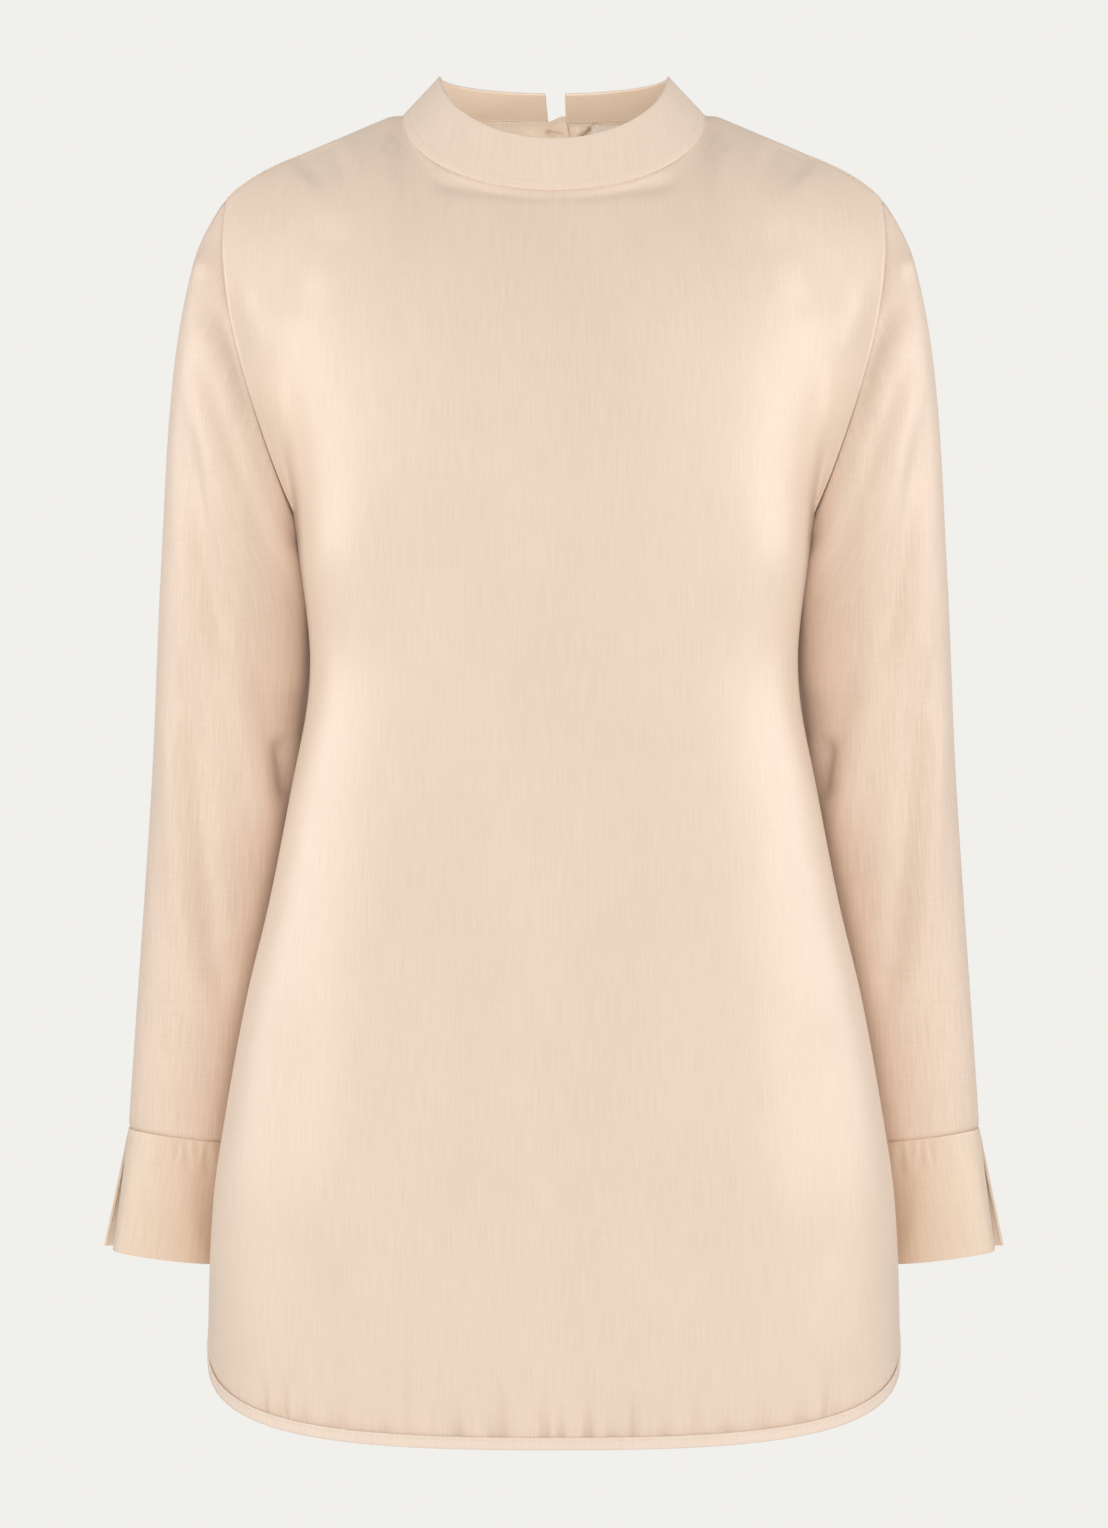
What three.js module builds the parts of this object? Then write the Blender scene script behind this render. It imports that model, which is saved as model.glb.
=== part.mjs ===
// A long-sleeved tunic top in satin-weave cloth, standing open as it is worn, with nobody in it.
// Units are millimetres. +Z is up, the front faces -Y, and the wearer's left side is at +X.
// The origin is the middle of the neck, level with the points where collar and shoulder seams meet.
// Each cut piece is a thin wall built on a grid of points. Neighbours share their seam points,
// and each wall then draws back from its seams, so that sewn pieces lie a hair apart.
import * as THREE from "three";

// ---------------------------------------------------------------- cloth and seams
const SEAM_GAP = 0.3;
const SAME_PLACE = 0.4;
const DEEP_FOLD = 0.7;
const PANEL_WALL = 1.2;
const COLLAR_WALL = 2;
const CUFF_WALL = 2;
const BAND_WALL = 1;
const LABEL_WALL = 1;
const SHEEN_CLOTH = { roughness: 0.42, metalness: 0 };
const COLOURS = {
  front_panel: "#ebd5c0",
  back_panel: "#ead3bd",
  collar: "#eed9c6",
  sleeve: "#e7cdb7",
  cuff: "#e9d2bc",
  hem_band: "#ead8c5",
  label: "#d9c8b5",
};

// ---------------------------------------------------------------- neck and collar
const NECK = { half: 87.6, frontY: -75, frontZ: -49.9, backY: 74, backZ: 4 };
const COLLAR_TOP = { half: 66.5, frontY: -68, frontZ: -20.2, sideZ: 22.5, backY: 56, backZ: 18.9 };
const COLLAR_GAP = { left: 5, leftFoot: 3.5, right: 6.5, rightFoot: 7 };
const COLLAR_TILT_POWER = 1.12;

// ---------------------------------------------------------------- shoulder and armhole
const SHOULDER = { x: 191.6, fall: 44, round: 8, roundPower: 8 };
const UNDERARM = { x: 148, y: 5, z: -246 };

// ---------------------------------------------------------------- body
// half: half the width; front and back: how far the cloth stands from the side seams' plane.
const BODY = [
  { z: -246, half: 148, front: 119, back: 98 },
  { z: -283, half: 142, front: 115, back: 95 },
  { z: -336, half: 143, front: 109, back: 91 },
  { z: -394, half: 153.6, front: 108, back: 95 },
  { z: -458, half: 166, front: 111, back: 105 },
  { z: -517, half: 180, front: 117, back: 114 },
  { z: -581, half: 191.6, front: 123, back: 121 },
  { z: -634, half: 199, front: 128, back: 125 },
  { z: -715, half: 202, front: 132, back: 128 },
  { z: -790, half: 201, front: 134, back: 129 },
];
const FULLNESS = { front: 0.85, back: 0.95 };
const NECK_SHARE = 0.4;
const HEM = { z: -765, sideRise: 44, sidePower: 3.2, cornerRise: 6, cornerPower: 30 };
const BAND_WIDTH = 7;

// Each lengthwise thread runs from the top edge (share 0 at the centre, 1 at the armhole) over a
// steering point near the top, then settles on the section at the underarm.
const FRONT_TOP = [
  { share: 0, x: 0, y: -103, z: -108 },
  { share: 0.2, x: 54, y: -99, z: -90 },
  { share: 0.4, x: 91, y: -84, z: -58 },
  { share: 0.55, x: 116, y: -76, z: -50 },
  { share: 0.7, x: 144, y: -70, z: -58 },
  { share: 0.85, x: 174, y: -61, z: -84 },
  { share: 1, x: 204, y: -48, z: -118 },
];
const BACK_TOP = [
  { share: 0, x: 0, y: 104, z: -52 },
  { share: 0.2, x: 54, y: 101, z: -48 },
  { share: 0.4, x: 91, y: 90, z: -40 },
  { share: 0.55, x: 116, y: 80, z: -44 },
  { share: 0.7, x: 144, y: 72, z: -56 },
  { share: 0.85, x: 174, y: 61, z: -84 },
  { share: 1, x: 202, y: 46, z: -120 },
];
const ARMHOLE_FOOT = { front: [146, -66, -241], back: [148, 66, -241] };
const TIED_SHARE = 0.6;
const SETTLE = 88;

// The slit at the centre back opens below the collar's ends and closes to a point.
const SLIT_ROWS = 6;
const SLIT = [
  { row: 0, left: 6, right: 20 },
  { row: 1, left: 7, right: 9.4 },
  { row: 6, left: 1.2, right: 2.8 },
  { row: 30, left: 1.2, right: 2.8 },
];

// ---------------------------------------------------------------- sleeve and cuff
// outer and inner: distance from the centre plane; y: middle; deep: half the depth front to back;
// tilt: how much higher the section lies at its outer edge, for each millimetre across.
const SLEEVE = [
  { z: -300, outer: 230.5, inner: 142, y: 30, deep: 54, tilt: 0 },
  { z: -380, outer: 235, inner: 147, y: 42, deep: 50, tilt: 0.03 },
  { z: -450, outer: 240, inner: 159, y: 52, deep: 46, tilt: 0.06 },
  { z: -525, outer: 245.5, inner: 175, y: 60, deep: 42, tilt: 0.1 },
  { z: -595, outer: 250.5, inner: 187, y: 64, deep: 38, tilt: 0.13 },
];
// Below the armhole seam each thread leaves outwards and down, then settles on the first section.
const SLEEVE_HEAD = {
  rows: 8,
  leave: 46,
  settle: 62,
  most: 0.4,
  out: 0.4,
  outAtTop: 0.2,
  round: 0.42,
  down: 0.8,
};
const CUFF = { height: 71, outer: 266, inner: 195, y: 66, deep: 40, slitTop: 1, slitFoot: 13, corner: 6 };

// Soft folds in the sleeve: angle is measured round from the outer line, through the front.
const SLEEVE_FOLDS = [
  { from: -150, to: -350, angleFrom: 30, angleTo: 105, width: 15, depth: 4 },
  { from: -300, to: -550, angleFrom: 49, angleTo: 130, width: 15, depth: 5 },
  { from: -200, to: -400, angleFrom: 300, angleTo: 230, width: 16, depth: 4 },
  { from: -380, to: -570, angleFrom: 250, angleTo: 300, width: 15, depth: 4 },
];

// ---------------------------------------------------------------- how finely each piece is divided
const NECK_CELLS = 10;
const SHOULDER_CELLS = 5;
const ARMHOLE_CELLS = 10;
const BODY_CELLS = 14;
const SLEEVE_CELLS = 11;
const CUFF_CELLS = 3;
const COLLAR_CELLS = 2;

// The label lies inside the back neck; columns and rows count cells of the back panel.
const LABEL = { columns: [0.25, 1, 2, 2.5], rows: [0.1, 0.85], slant: 0.3, clear: 0.5 };

// ---------------------------------------------------------------- small helpers
const HALF_TURN = Math.PI;
const QUARTER_TURN = Math.PI / 2;
const DEGREE = Math.PI / 180;
const mix = (a, b, t) => a + (b - a) * t;
const clamp01 = (t) => Math.min(1, Math.max(0, t));
const vector = (x, y, z) => new THREE.Vector3(x, y, z);
const mixVectors = (a, b, t) => a.clone().lerp(b, t);
const steps = (count) => Array.from({ length: count + 1 }, (_, i) => i / count);

// One column of a table at a place along it, on a smooth curve through the rows.
function readTable(table, place, column, key = "z") {
  const down = table[0][key] > table[table.length - 1][key] ? -1 : 1;
  let i = table.findIndex((row) => down * row[key] > down * place) - 1;
  if (i < 0) i = down * place < down * table[0][key] ? 0 : table.length - 2;
  const slope = (j) => {
    const a = table[Math.max(0, j - 1)];
    const b = table[Math.min(table.length - 1, j + 1)];
    return (b[column] - a[column]) / (b[key] - a[key]);
  };
  const [low, high] = [table[i], table[i + 1]];
  const span = high[key] - low[key];
  const t = clamp01((place - low[key]) / span);
  const stay = 2 * t ** 3 - 3 * t ** 2 + 1;
  const leave = t ** 3 - 2 * t ** 2 + t;
  const arrive = t ** 3 - t ** 2;
  const bend = span * (leave * slope(i) + arrive * slope(i + 1));
  return stay * low[column] + (1 - stay) * high[column] + bend;
}

function bezier(points, t) {
  const [a, b, c, d] = points;
  const s = 1 - t;
  return vector(0, 0, 0)
    .addScaledVector(a, s ** 3)
    .addScaledVector(b, 3 * s * s * t)
    .addScaledVector(c, 3 * s * t * t)
    .addScaledVector(d, t ** 3);
}

// ---------------------------------------------------------------- the shape of the cut
// turn runs round the neck from 0 at the front to a half turn at the back; side is -1 or 1.
function neckPoint(turn, side) {
  const ahead = Math.cos(turn);
  const x = side * NECK.half * Math.sin(turn);
  return ahead > 0
    ? vector(x, NECK.frontY * ahead, NECK.frontZ * ahead)
    : vector(x, -NECK.backY * ahead, -NECK.backZ * ahead);
}

function collarTopPoint(turn, side) {
  const ahead = Math.cos(turn);
  const x = side * COLLAR_TOP.half * Math.sin(turn);
  if (ahead > 0) {
    const fall = mix(COLLAR_TOP.sideZ, COLLAR_TOP.frontZ, ahead ** COLLAR_TILT_POWER);
    return vector(x, COLLAR_TOP.frontY * ahead, fall);
  }
  return vector(x, -COLLAR_TOP.backY * ahead, mix(COLLAR_TOP.sideZ, COLLAR_TOP.backZ, -ahead));
}

function shoulderPoint(t, side) {
  const z = -SHOULDER.fall * t - SHOULDER.round * t ** SHOULDER.roundPower;
  return vector(side * mix(NECK.half, SHOULDER.x, t), 0, z);
}

// across runs from -1 at one side seam to 1 at the other; facing is -1 in front and 1 behind.
function bodyPoint(across, z, facing) {
  const turn = across * QUARTER_TURN;
  const depth = readTable(BODY, z, facing < 0 ? "front" : "back");
  const out = facing * depth - UNDERARM.y;
  const x = readTable(BODY, z, "half") * Math.sin(turn);
  const power = facing < 0 ? FULLNESS.front : FULLNESS.back;
  return vector(x, UNDERARM.y + out * Math.max(0, Math.cos(turn)) ** power, z);
}

function topEdgePoint(across, facing) {
  const side = Math.sign(across) || 1;
  const share = Math.abs(across);
  if (share >= NECK_SHARE) return shoulderPoint((share - NECK_SHARE) / (1 - NECK_SHARE), side);
  const turn = (share / NECK_SHARE) * QUARTER_TURN;
  return neckPoint(facing < 0 ? turn : HALF_TURN - turn, side);
}

// The four points that steer a lengthwise thread from the top edge down to the underarm level.
function upperThread(across, facing) {
  const side = Math.sign(across) || 1;
  const share = Math.abs(across);
  const table = facing < 0 ? FRONT_TOP : BACK_TOP;
  const [x, y, z] = ["x", "y", "z"].map((column) => readTable(table, share, column, "share"));
  const foot = bodyPoint(across, UNDERARM.z, facing);
  const below = bodyPoint(across, UNDERARM.z - 1, facing);
  const free = foot.clone().addScaledVector(foot.clone().sub(below), SETTLE);
  const [tiedX, tiedY, tiedZ] = facing < 0 ? ARMHOLE_FOOT.front : ARMHOLE_FOOT.back;
  const hold = clamp01((share - TIED_SHARE) / (1 - TIED_SHARE)) ** 2;
  const settle = mixVectors(free, vector(side * tiedX, tiedY, tiedZ), hold);
  return [topEdgePoint(across, facing), vector(side * x, y, z), settle, foot];
}

function hemRise(across) {
  const share = Math.abs(across);
  return HEM.sideRise * share ** HEM.sidePower + HEM.cornerRise * share ** HEM.cornerPower;
}

// Rows of a panel, from the top edge to the hem, for one lengthwise thread.
function panelThread(across, facing) {
  const steer = upperThread(across, facing);
  const upper = steps(ARMHOLE_CELLS).map((t) => bezier(steer, t));
  const length = UNDERARM.z - HEM.z;
  const lower = steps(BODY_CELLS)
    .slice(1)
    .map((t) => {
      const z = UNDERARM.z - t * (length - hemRise(across));
      return bodyPoint(across, z, facing);
    });
  return [...upper, ...lower];
}

// Distance round from the outer line is turn; folds press the sleeve in along slanting lines.
function sleeveFoldDepth(z, turn, girth) {
  let depth = 0;
  for (const fold of SLEEVE_FOLDS) {
    const along = (z - fold.from) / (fold.to - fold.from);
    if (along <= 0 || along >= 1) continue;
    const line = mix(fold.angleFrom, fold.angleTo, along) * DEGREE;
    const away = ((turn - line) / (2 * HALF_TURN)) * girth;
    depth += fold.depth * Math.sin(along * HALF_TURN) * Math.exp(-((away / fold.width) ** 2));
  }
  return depth;
}

function sleeveSection(z, turn, side) {
  const row = (column) => readTable(SLEEVE, z, column);
  const [outer, inner, deep] = [row("outer"), row("inner"), row("deep")];
  const wide = (outer - inner) / 2;
  const middle = (outer + inner) / 2;
  const pressed = sleeveFoldDepth(z, turn, HALF_TURN * (wide + deep));
  const x = middle + (wide - pressed) * Math.cos(turn);
  const y = row("y") - (deep - pressed) * Math.sin(turn);
  return vector(side * x, y, z - row("tilt") * (outer - x));
}

function cuffPoint(t, turn, side) {
  const last = SLEEVE[SLEEVE.length - 1];
  const wide = mix(last.outer - last.inner, CUFF.outer - CUFF.inner, t) / 2;
  const middle = mix(last.outer + last.inner, CUFF.outer + CUFF.inner, t) / 2;
  const x = middle + wide * Math.cos(turn);
  const y = mix(last.y, CUFF.y, t) - mix(last.deep, CUFF.deep, t) * Math.sin(turn);
  return vector(side * x, y, last.z - CUFF.height * t - last.tilt * (middle + wide - x));
}

// ---------------------------------------------------------------- grids of points, one per piece
const frontAcross = [
  ...steps(SHOULDER_CELLS).map((t) => -mix(1, NECK_SHARE, t)),
  ...steps(NECK_CELLS).slice(1).map((t) => mix(-NECK_SHARE, NECK_SHARE, t)),
  ...steps(SHOULDER_CELLS).slice(1).map((t) => mix(NECK_SHARE, 1, t)),
];
const backHalfCells = NECK_CELLS / 2;
const backAcross = [
  ...steps(SHOULDER_CELLS).map((t) => -mix(1, NECK_SHARE, t)),
  ...steps(backHalfCells).slice(1).map((t) => mix(-NECK_SHARE, 0, t)),
  ...steps(backHalfCells).map((t) => mix(0, NECK_SHARE, t)),
  ...steps(SHOULDER_CELLS).slice(1).map((t) => mix(NECK_SHARE, 1, t)),
];
const slitColumn = SHOULDER_CELLS + backHalfCells;

// Turns a list of threads, each running down, into rows that run across.
const rowsOf = (threads) => threads[0].map((_, i) => threads.map((thread) => thread[i]));

const frontGrid = rowsOf(frontAcross.map((across) => panelThread(across, -1)));
const backGrid = rowsOf(backAcross.map((across) => panelThread(across, 1)));

// The two threads beside the slit, and those next to them, are spread to the slit's own edges.
backGrid.forEach((row, i) => {
  const left = readTable(SLIT, i, "left", "row");
  const right = readTable(SLIT, i, "right", "row");
  const flat = row.map((p) => p.x);
  const reach = flat[slitColumn + 1 + backHalfCells] - flat[slitColumn];
  row.forEach((point, j) => {
    const away = clamp01(Math.abs(flat[j] - flat[slitColumn]) / reach);
    const moved = point.clone();
    moved.x += (j <= slitColumn ? left : right) * (1 - away) ** 2;
    row[j] = moved;
  });
});

const armholeLoop = (side) => {
  const column = side < 0 ? 0 : frontGrid[0].length - 1;
  const backColumn = side < 0 ? 0 : backGrid[0].length - 1;
  const ahead = frontGrid.slice(0, ARMHOLE_CELLS + 1).map((row) => row[column]);
  const behind = backGrid.slice(1, ARMHOLE_CELLS).map((row) => row[backColumn]);
  return [...ahead, ...behind.reverse()];
};

function sleeveGrid(side) {
  const loop = armholeLoop(side);
  const count = loop.length;
  const turns = loop.map((_, j) => (j / count) * 2 * HALF_TURN);
  const first = SLEEVE[0];
  const threads = loop.map((start, j) => {
    const turn = turns[j];
    const foot = sleeveSection(first.z, turn, side);
    const below = sleeveSection(first.z - 1, turn, side);
    const out = SLEEVE_HEAD.out + SLEEVE_HEAD.outAtTop * Math.cos(turn / 2) ** 2;
    const away = vector(side * out, -SLEEVE_HEAD.round * Math.sin(turn), -SLEEVE_HEAD.down);
    const most = start.distanceTo(foot) * SLEEVE_HEAD.most;
    const leave = Math.min(SLEEVE_HEAD.leave, most);
    const settle = Math.min(SLEEVE_HEAD.settle, most);
    const steer = [
      start,
      start.clone().addScaledVector(away.normalize(), leave),
      foot.clone().addScaledVector(foot.clone().sub(below), settle),
      foot,
    ];
    const head = steps(SLEEVE_HEAD.rows).map((t) => bezier(steer, t));
    const arm = steps(SLEEVE_CELLS)
      .slice(1)
      .map((t) => sleeveSection(mix(first.z, SLEEVE[SLEEVE.length - 1].z, t), turn, side));
    return [...head, ...arm];
  });
  return rowsOf(threads);
}

// The cuff is split at its outer edge: its two ends stand apart, more so at the foot.
function cuffGrid(side, seam) {
  const count = seam.length;
  const last = SLEEVE[SLEEVE.length - 1];
  return steps(CUFF_CELLS).map((t) =>
    Array.from({ length: count + 1 }, (_, j) => {
      const turn = (j / count) * 2 * HALF_TURN;
      const point = t === 0 ? seam[j % count].clone() : cuffPoint(t, turn, side);
      const toEnd = Math.min(j, count - j);
      const gap = mix(CUFF.slitTop, CUFF.slitFoot, t) / 2;
      if (toEnd === 0) point.y += j === 0 ? -gap : gap;
      if (toEnd === 0 && t === 1) point.z += CUFF.corner;
      if (toEnd === 0) point.x -= side * (gap ** 2 / last.deep);
      return point;
    }),
  );
}

// The collar stands on the neckline from one end of its gap, round the front, to the other.
function collarGrid() {
  const leftBack = backGrid[0].slice(SHOULDER_CELLS, slitColumn + 1).reverse();
  const rightBack = backGrid[0].slice(slitColumn + 1, slitColumn + 2 + backHalfCells).reverse();
  const front = frontGrid[0].slice(SHOULDER_CELLS + 1, SHOULDER_CELLS + NECK_CELLS);
  const base = [...leftBack, ...front, ...rightBack];
  const turnOf = (j) => {
    const toFront = backHalfCells + NECK_CELLS / 2;
    return ((toFront - j) / toFront) * HALF_TURN;
  };
  const rows = steps(COLLAR_CELLS).map((t) =>
    base.map((foot, j) => {
      const turn = turnOf(j);
      const top = collarTopPoint(Math.abs(turn), turn > 0 ? -1 : 1);
      return mixVectors(foot, top, t);
    }),
  );
  // Both ends are moved along the collar's own line to the edges of its gap.
  rows.forEach((row, i) => {
    const t = i / COLLAR_CELLS;
    const [first, second] = row;
    const [beforeLast, last] = row.slice(-2);
    const leftX = mix(-COLLAR_GAP.leftFoot, -COLLAR_GAP.left, t);
    const rightX = mix(COLLAR_GAP.rightFoot, COLLAR_GAP.right, t);
    row[0] = second.clone().lerp(first, (leftX - second.x) / (first.x - second.x));
    const reach = (rightX - beforeLast.x) / (last.x - beforeLast.x);
    row[row.length - 1] = beforeLast.clone().lerp(last, reach);
  });
  return rows;
}

// A narrow band lies on the outside of a panel's hem, and follows its curve.
function hemBandGrid(across, facing) {
  const [edge, rim] = [0, 1];
  const onPanel = [rim, edge].map((t) =>
    across.map((share) => {
      const step = 0.001;
      const inner = Math.min(Math.abs(share), 1 - step);
      const ahead = bodyPoint(inner + step, HEM.z, facing);
      const stride = ahead.distanceTo(bodyPoint(inner, HEM.z, facing));
      const slope = (hemRise(inner + step) - hemRise(inner)) / stride;
      const height = t * BAND_WIDTH * Math.hypot(1, slope);
      return bodyPoint(share, HEM.z + hemRise(share) + height, facing);
    }),
  );
  const normals = gridNormals(onPanel, false);
  return onPanel.map((row, i) =>
    row.map((point, j) => point.clone().addScaledVector(normals[i][j], -facing * (SEAM_GAP + BAND_WALL))),
  );
}

// A blank label, sewn in below the collar: a patch of the back panel's own grid, moved inside.
function labelGrid() {
  const inside = gridNormals(backGrid, false);
  const start = slitColumn + 1;
  const patch = (grid, row, column) => {
    const [i, j] = [Math.floor(row), Math.floor(column)];
    const top = grid[i][j].clone().lerp(grid[i][j + 1], column - j);
    const foot = grid[i + 1][j].clone().lerp(grid[i + 1][j + 1], column - j);
    return top.lerp(foot, row - i);
  };
  return LABEL.rows.map((row) =>
    LABEL.columns.map((place, j) => {
      const column = start + place + (j === 0 ? LABEL.slant * row : 0);
      const way = patch(inside, row, column).normalize();
      return patch(backGrid, row, column).addScaledVector(way, PANEL_WALL + LABEL.clear);
    }),
  );
}

// ---------------------------------------------------------------- walls
function gridNormals(grid, wrap) {
  const rows = grid.length;
  const columns = grid[0].length;
  return grid.map((row, i) =>
    row.map((point, j) => {
      const above = grid[Math.max(0, i - 1)][j];
      const below = grid[Math.min(rows - 1, i + 1)][j];
      const before = wrap ? row[(j + columns - 1) % columns] : row[Math.max(0, j - 1)];
      const after = wrap ? row[(j + 1) % columns] : row[Math.min(columns - 1, j + 1)];
      return below.clone().sub(above).cross(after.clone().sub(before)).normalize();
    }),
  );
}

const pieces = {};

// facing is 1 where rows going down and columns going on turn the outside outwards, else -1.
function addPiece(name, grid, options) {
  const piece = { grid, wrap: false, facing: 1, sewn: [], isGap: () => false, ...options };
  piece.normals = gridNormals(grid, piece.wrap).map((row) => row.map((n) => n.multiplyScalar(piece.facing)));
  pieces[name] = piece;
}

// Vertices on the sewn edges of a piece, each with the ways back into the piece and the seam's line.
function sewnVertices(piece) {
  const { grid, sewn, wrap } = piece;
  const [last, end] = [grid.length - 1, grid[0].length - 1];
  const found = [];
  const column = (j) => (wrap ? (j + end + 1) % (end + 1) : Math.min(end, Math.max(0, j)));
  const at = (i, j) => grid[Math.min(last, Math.max(0, i))][column(j)];
  grid.forEach((row, i) =>
    row.forEach((point, j) => {
      const ways = [];
      const lookIn = (inside, before, after) =>
        ways.push({ inside: inside.clone().sub(point), seam: after.clone().sub(before).normalize() });
      if (sewn.includes("top") && i === 0) lookIn(at(1, j), at(0, j - 1), at(0, j + 1));
      if (sewn.includes("foot") && i === last) lookIn(at(last - 1, j), at(last, j - 1), at(last, j + 1));
      if (sewn.includes("sides") && j === 0) lookIn(at(i, 1), at(i - 1, 0), at(i + 1, 0));
      if (sewn.includes("sides") && j === end) lookIn(at(i, end - 1), at(i - 1, end), at(i + 1, end));
      if (ways.length) found.push({ piece, i, j, point, ways });
    }),
  );
  return found;
}

// Vertices at one place belong to one seam: they share a direction for their thickness, and each
// draws back from the seam by half the gap. In a deep fold, as under the arm, the outsides lie
// face to face instead, so each keeps its own direction and draws back through its thickness.
function sewSeams() {
  const places = [];
  for (const piece of Object.values(pieces)) {
    for (const vertex of sewnVertices(piece)) {
      const known = places.find((list) => list[0].point.distanceTo(vertex.point) < SAME_PLACE);
      if (known) known.push(vertex);
      else places.push([vertex]);
    }
  }
  for (const list of places) {
    const own = list.map((v) => v.piece.normals[v.i][v.j].clone());
    const middleOf = (vectors) => vectors.reduce((sum, v) => sum.add(v), vector(0, 0, 0)).normalize();
    const sharedWith = (normal, least) => middleOf(own.filter((n) => n.dot(normal) > least));
    const into = list.map((v) => middleOf(v.ways.map((way) => way.inside)));
    const isDeepFold = list.some((_, a) =>
      list.some((__, b) => {
        const outward = own[a].clone().add(own[b]);
        return own[a].dot(own[b]) < DEEP_FOLD && into[a].clone().add(into[b]).dot(outward) > 0;
      }),
    );
    const gap = list.length > 1 ? SEAM_GAP / 2 : SEAM_GAP * 2;
    list.forEach((v, k) => {
      const normal = sharedWith(own[k], isDeepFold ? DEEP_FOLD : -1);
      const drawn = v.point.clone();
      for (const { inside, seam } of v.ways) {
        const square = normal.clone().cross(seam).normalize();
        drawn.addScaledVector(square, Math.sign(square.dot(inside)) * gap);
      }
      if (isDeepFold) drawn.addScaledVector(normal, -gap);
      v.piece.normals[v.i][v.j] = normal;
      v.piece.grid[v.i][v.j] = drawn;
    });
  }
}

// A closed wall: the grid is its outside, and its inside lies a thickness behind.
function wallGeometry(piece) {
  const { grid, normals, wrap, facing, thickness, isGap } = piece;
  const [rows, columns] = [grid.length, grid[0].length];
  const across = wrap ? columns : columns - 1;
  const positions = [];
  const put = (p) => positions.push(p.x, p.y, p.z);
  const outside = (i, j) => grid[i][j % columns];
  const inside = (i, j) => {
    const way = normals[i][j % columns];
    return outside(i, j).clone().addScaledVector(way, -thickness);
  };
  // Each cell is cut along its shorter diagonal, so that both sides of the body are cut alike.
  const quad = (a, b, c, d) => {
    const halves = a.distanceTo(c) < b.distanceTo(d) ? [a, b, c, a, c, d] : [b, c, d, b, d, a];
    if (facing < 0) halves.reverse();
    halves.forEach(put);
  };
  const isCell = (i, j) => {
    if (i < 0 || i >= rows - 1) return false;
    if (!wrap && (j < 0 || j >= across)) return false;
    return !isGap(i, (j + across) % across);
  };
  for (let i = 0; i < rows - 1; i++) {
    for (let j = 0; j < across; j++) {
      if (!isCell(i, j)) continue;
      quad(outside(i, j), outside(i + 1, j), outside(i + 1, j + 1), outside(i, j + 1));
      quad(inside(i, j), inside(i, j + 1), inside(i + 1, j + 1), inside(i + 1, j));
      const rim = (i0, j0, i1, j1) => quad(outside(i0, j0), outside(i1, j1), inside(i1, j1), inside(i0, j0));
      if (!isCell(i - 1, j)) rim(i, j, i, j + 1);
      if (!isCell(i + 1, j)) rim(i + 1, j + 1, i + 1, j);
      if (!isCell(i, j - 1)) rim(i + 1, j, i, j);
      if (!isCell(i, j + 1)) rim(i, j + 1, i + 1, j + 1);
    }
  }
  const geometry = new THREE.BufferGeometry();
  geometry.setAttribute("position", new THREE.Float32BufferAttribute(positions, 3));
  geometry.computeVertexNormals();
  return geometry;
}

// ---------------------------------------------------------------- the pieces
const sides = { right: -1, left: 1 };

addPiece("front_panel", frontGrid, { thickness: PANEL_WALL, sewn: ["top", "sides"] });
addPiece("back_panel", backGrid, {
  thickness: PANEL_WALL,
  facing: -1,
  sewn: ["top", "sides"],
  isGap: (i, j) => j === slitColumn && i < SLIT_ROWS,
});
addPiece("collar", collarGrid(), { thickness: COLLAR_WALL, facing: -1, sewn: ["top"] });
for (const [name, side] of Object.entries(sides)) {
  const sleeve = sleeveGrid(side);
  const seam = sleeve[sleeve.length - 1];
  addPiece(`sleeve_${name}`, sleeve, {
    thickness: PANEL_WALL,
    facing: -side,
    wrap: true,
    sewn: ["top", "foot"],
  });
  addPiece(`cuff_${name}`, cuffGrid(side, seam), {
    thickness: CUFF_WALL,
    facing: -side,
    sewn: ["top"],
  });
}
addPiece("hem_band_front", hemBandGrid(frontAcross, -1), { thickness: BAND_WALL, sewn: ["sides"] });
addPiece("hem_band_back", hemBandGrid(backAcross, 1), {
  thickness: BAND_WALL,
  facing: -1,
  sewn: ["sides"],
});
addPiece("label", labelGrid(), { thickness: LABEL_WALL, facing: -1 });
sewSeams();

const tunic = new THREE.Group();
for (const [name, piece] of Object.entries(pieces)) {
  const color = COLOURS[name] ?? COLOURS[name.replace(/_(right|left|front|back)$/, "")];
  const cloth = new THREE.MeshStandardMaterial({ ...SHEEN_CLOTH, color });
  const mesh = new THREE.Mesh(wallGeometry(piece), cloth);
  mesh.name = name;
  tunic.add(mesh);
}

export default tunic;
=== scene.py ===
# %% [markdown]
# # A satin tunic top, standing open as it is worn
# The real garment is a loose, long-sleeved tunic in a soft satin weave, cut from ten pieces and
# sewn together: a front, a back, a stand collar, two sleeves, two cuffs, two hem bands and a
# label. We rebuild each piece as a thin sheet of cloth with its folds, on the same cut as the
# plain part that comes with the scene, and give it stitches and a satin finish.
#
# First we load that part. It gives the fixed frame that every piece of cloth rides on.

# %% Load the plain part
import math

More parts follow.
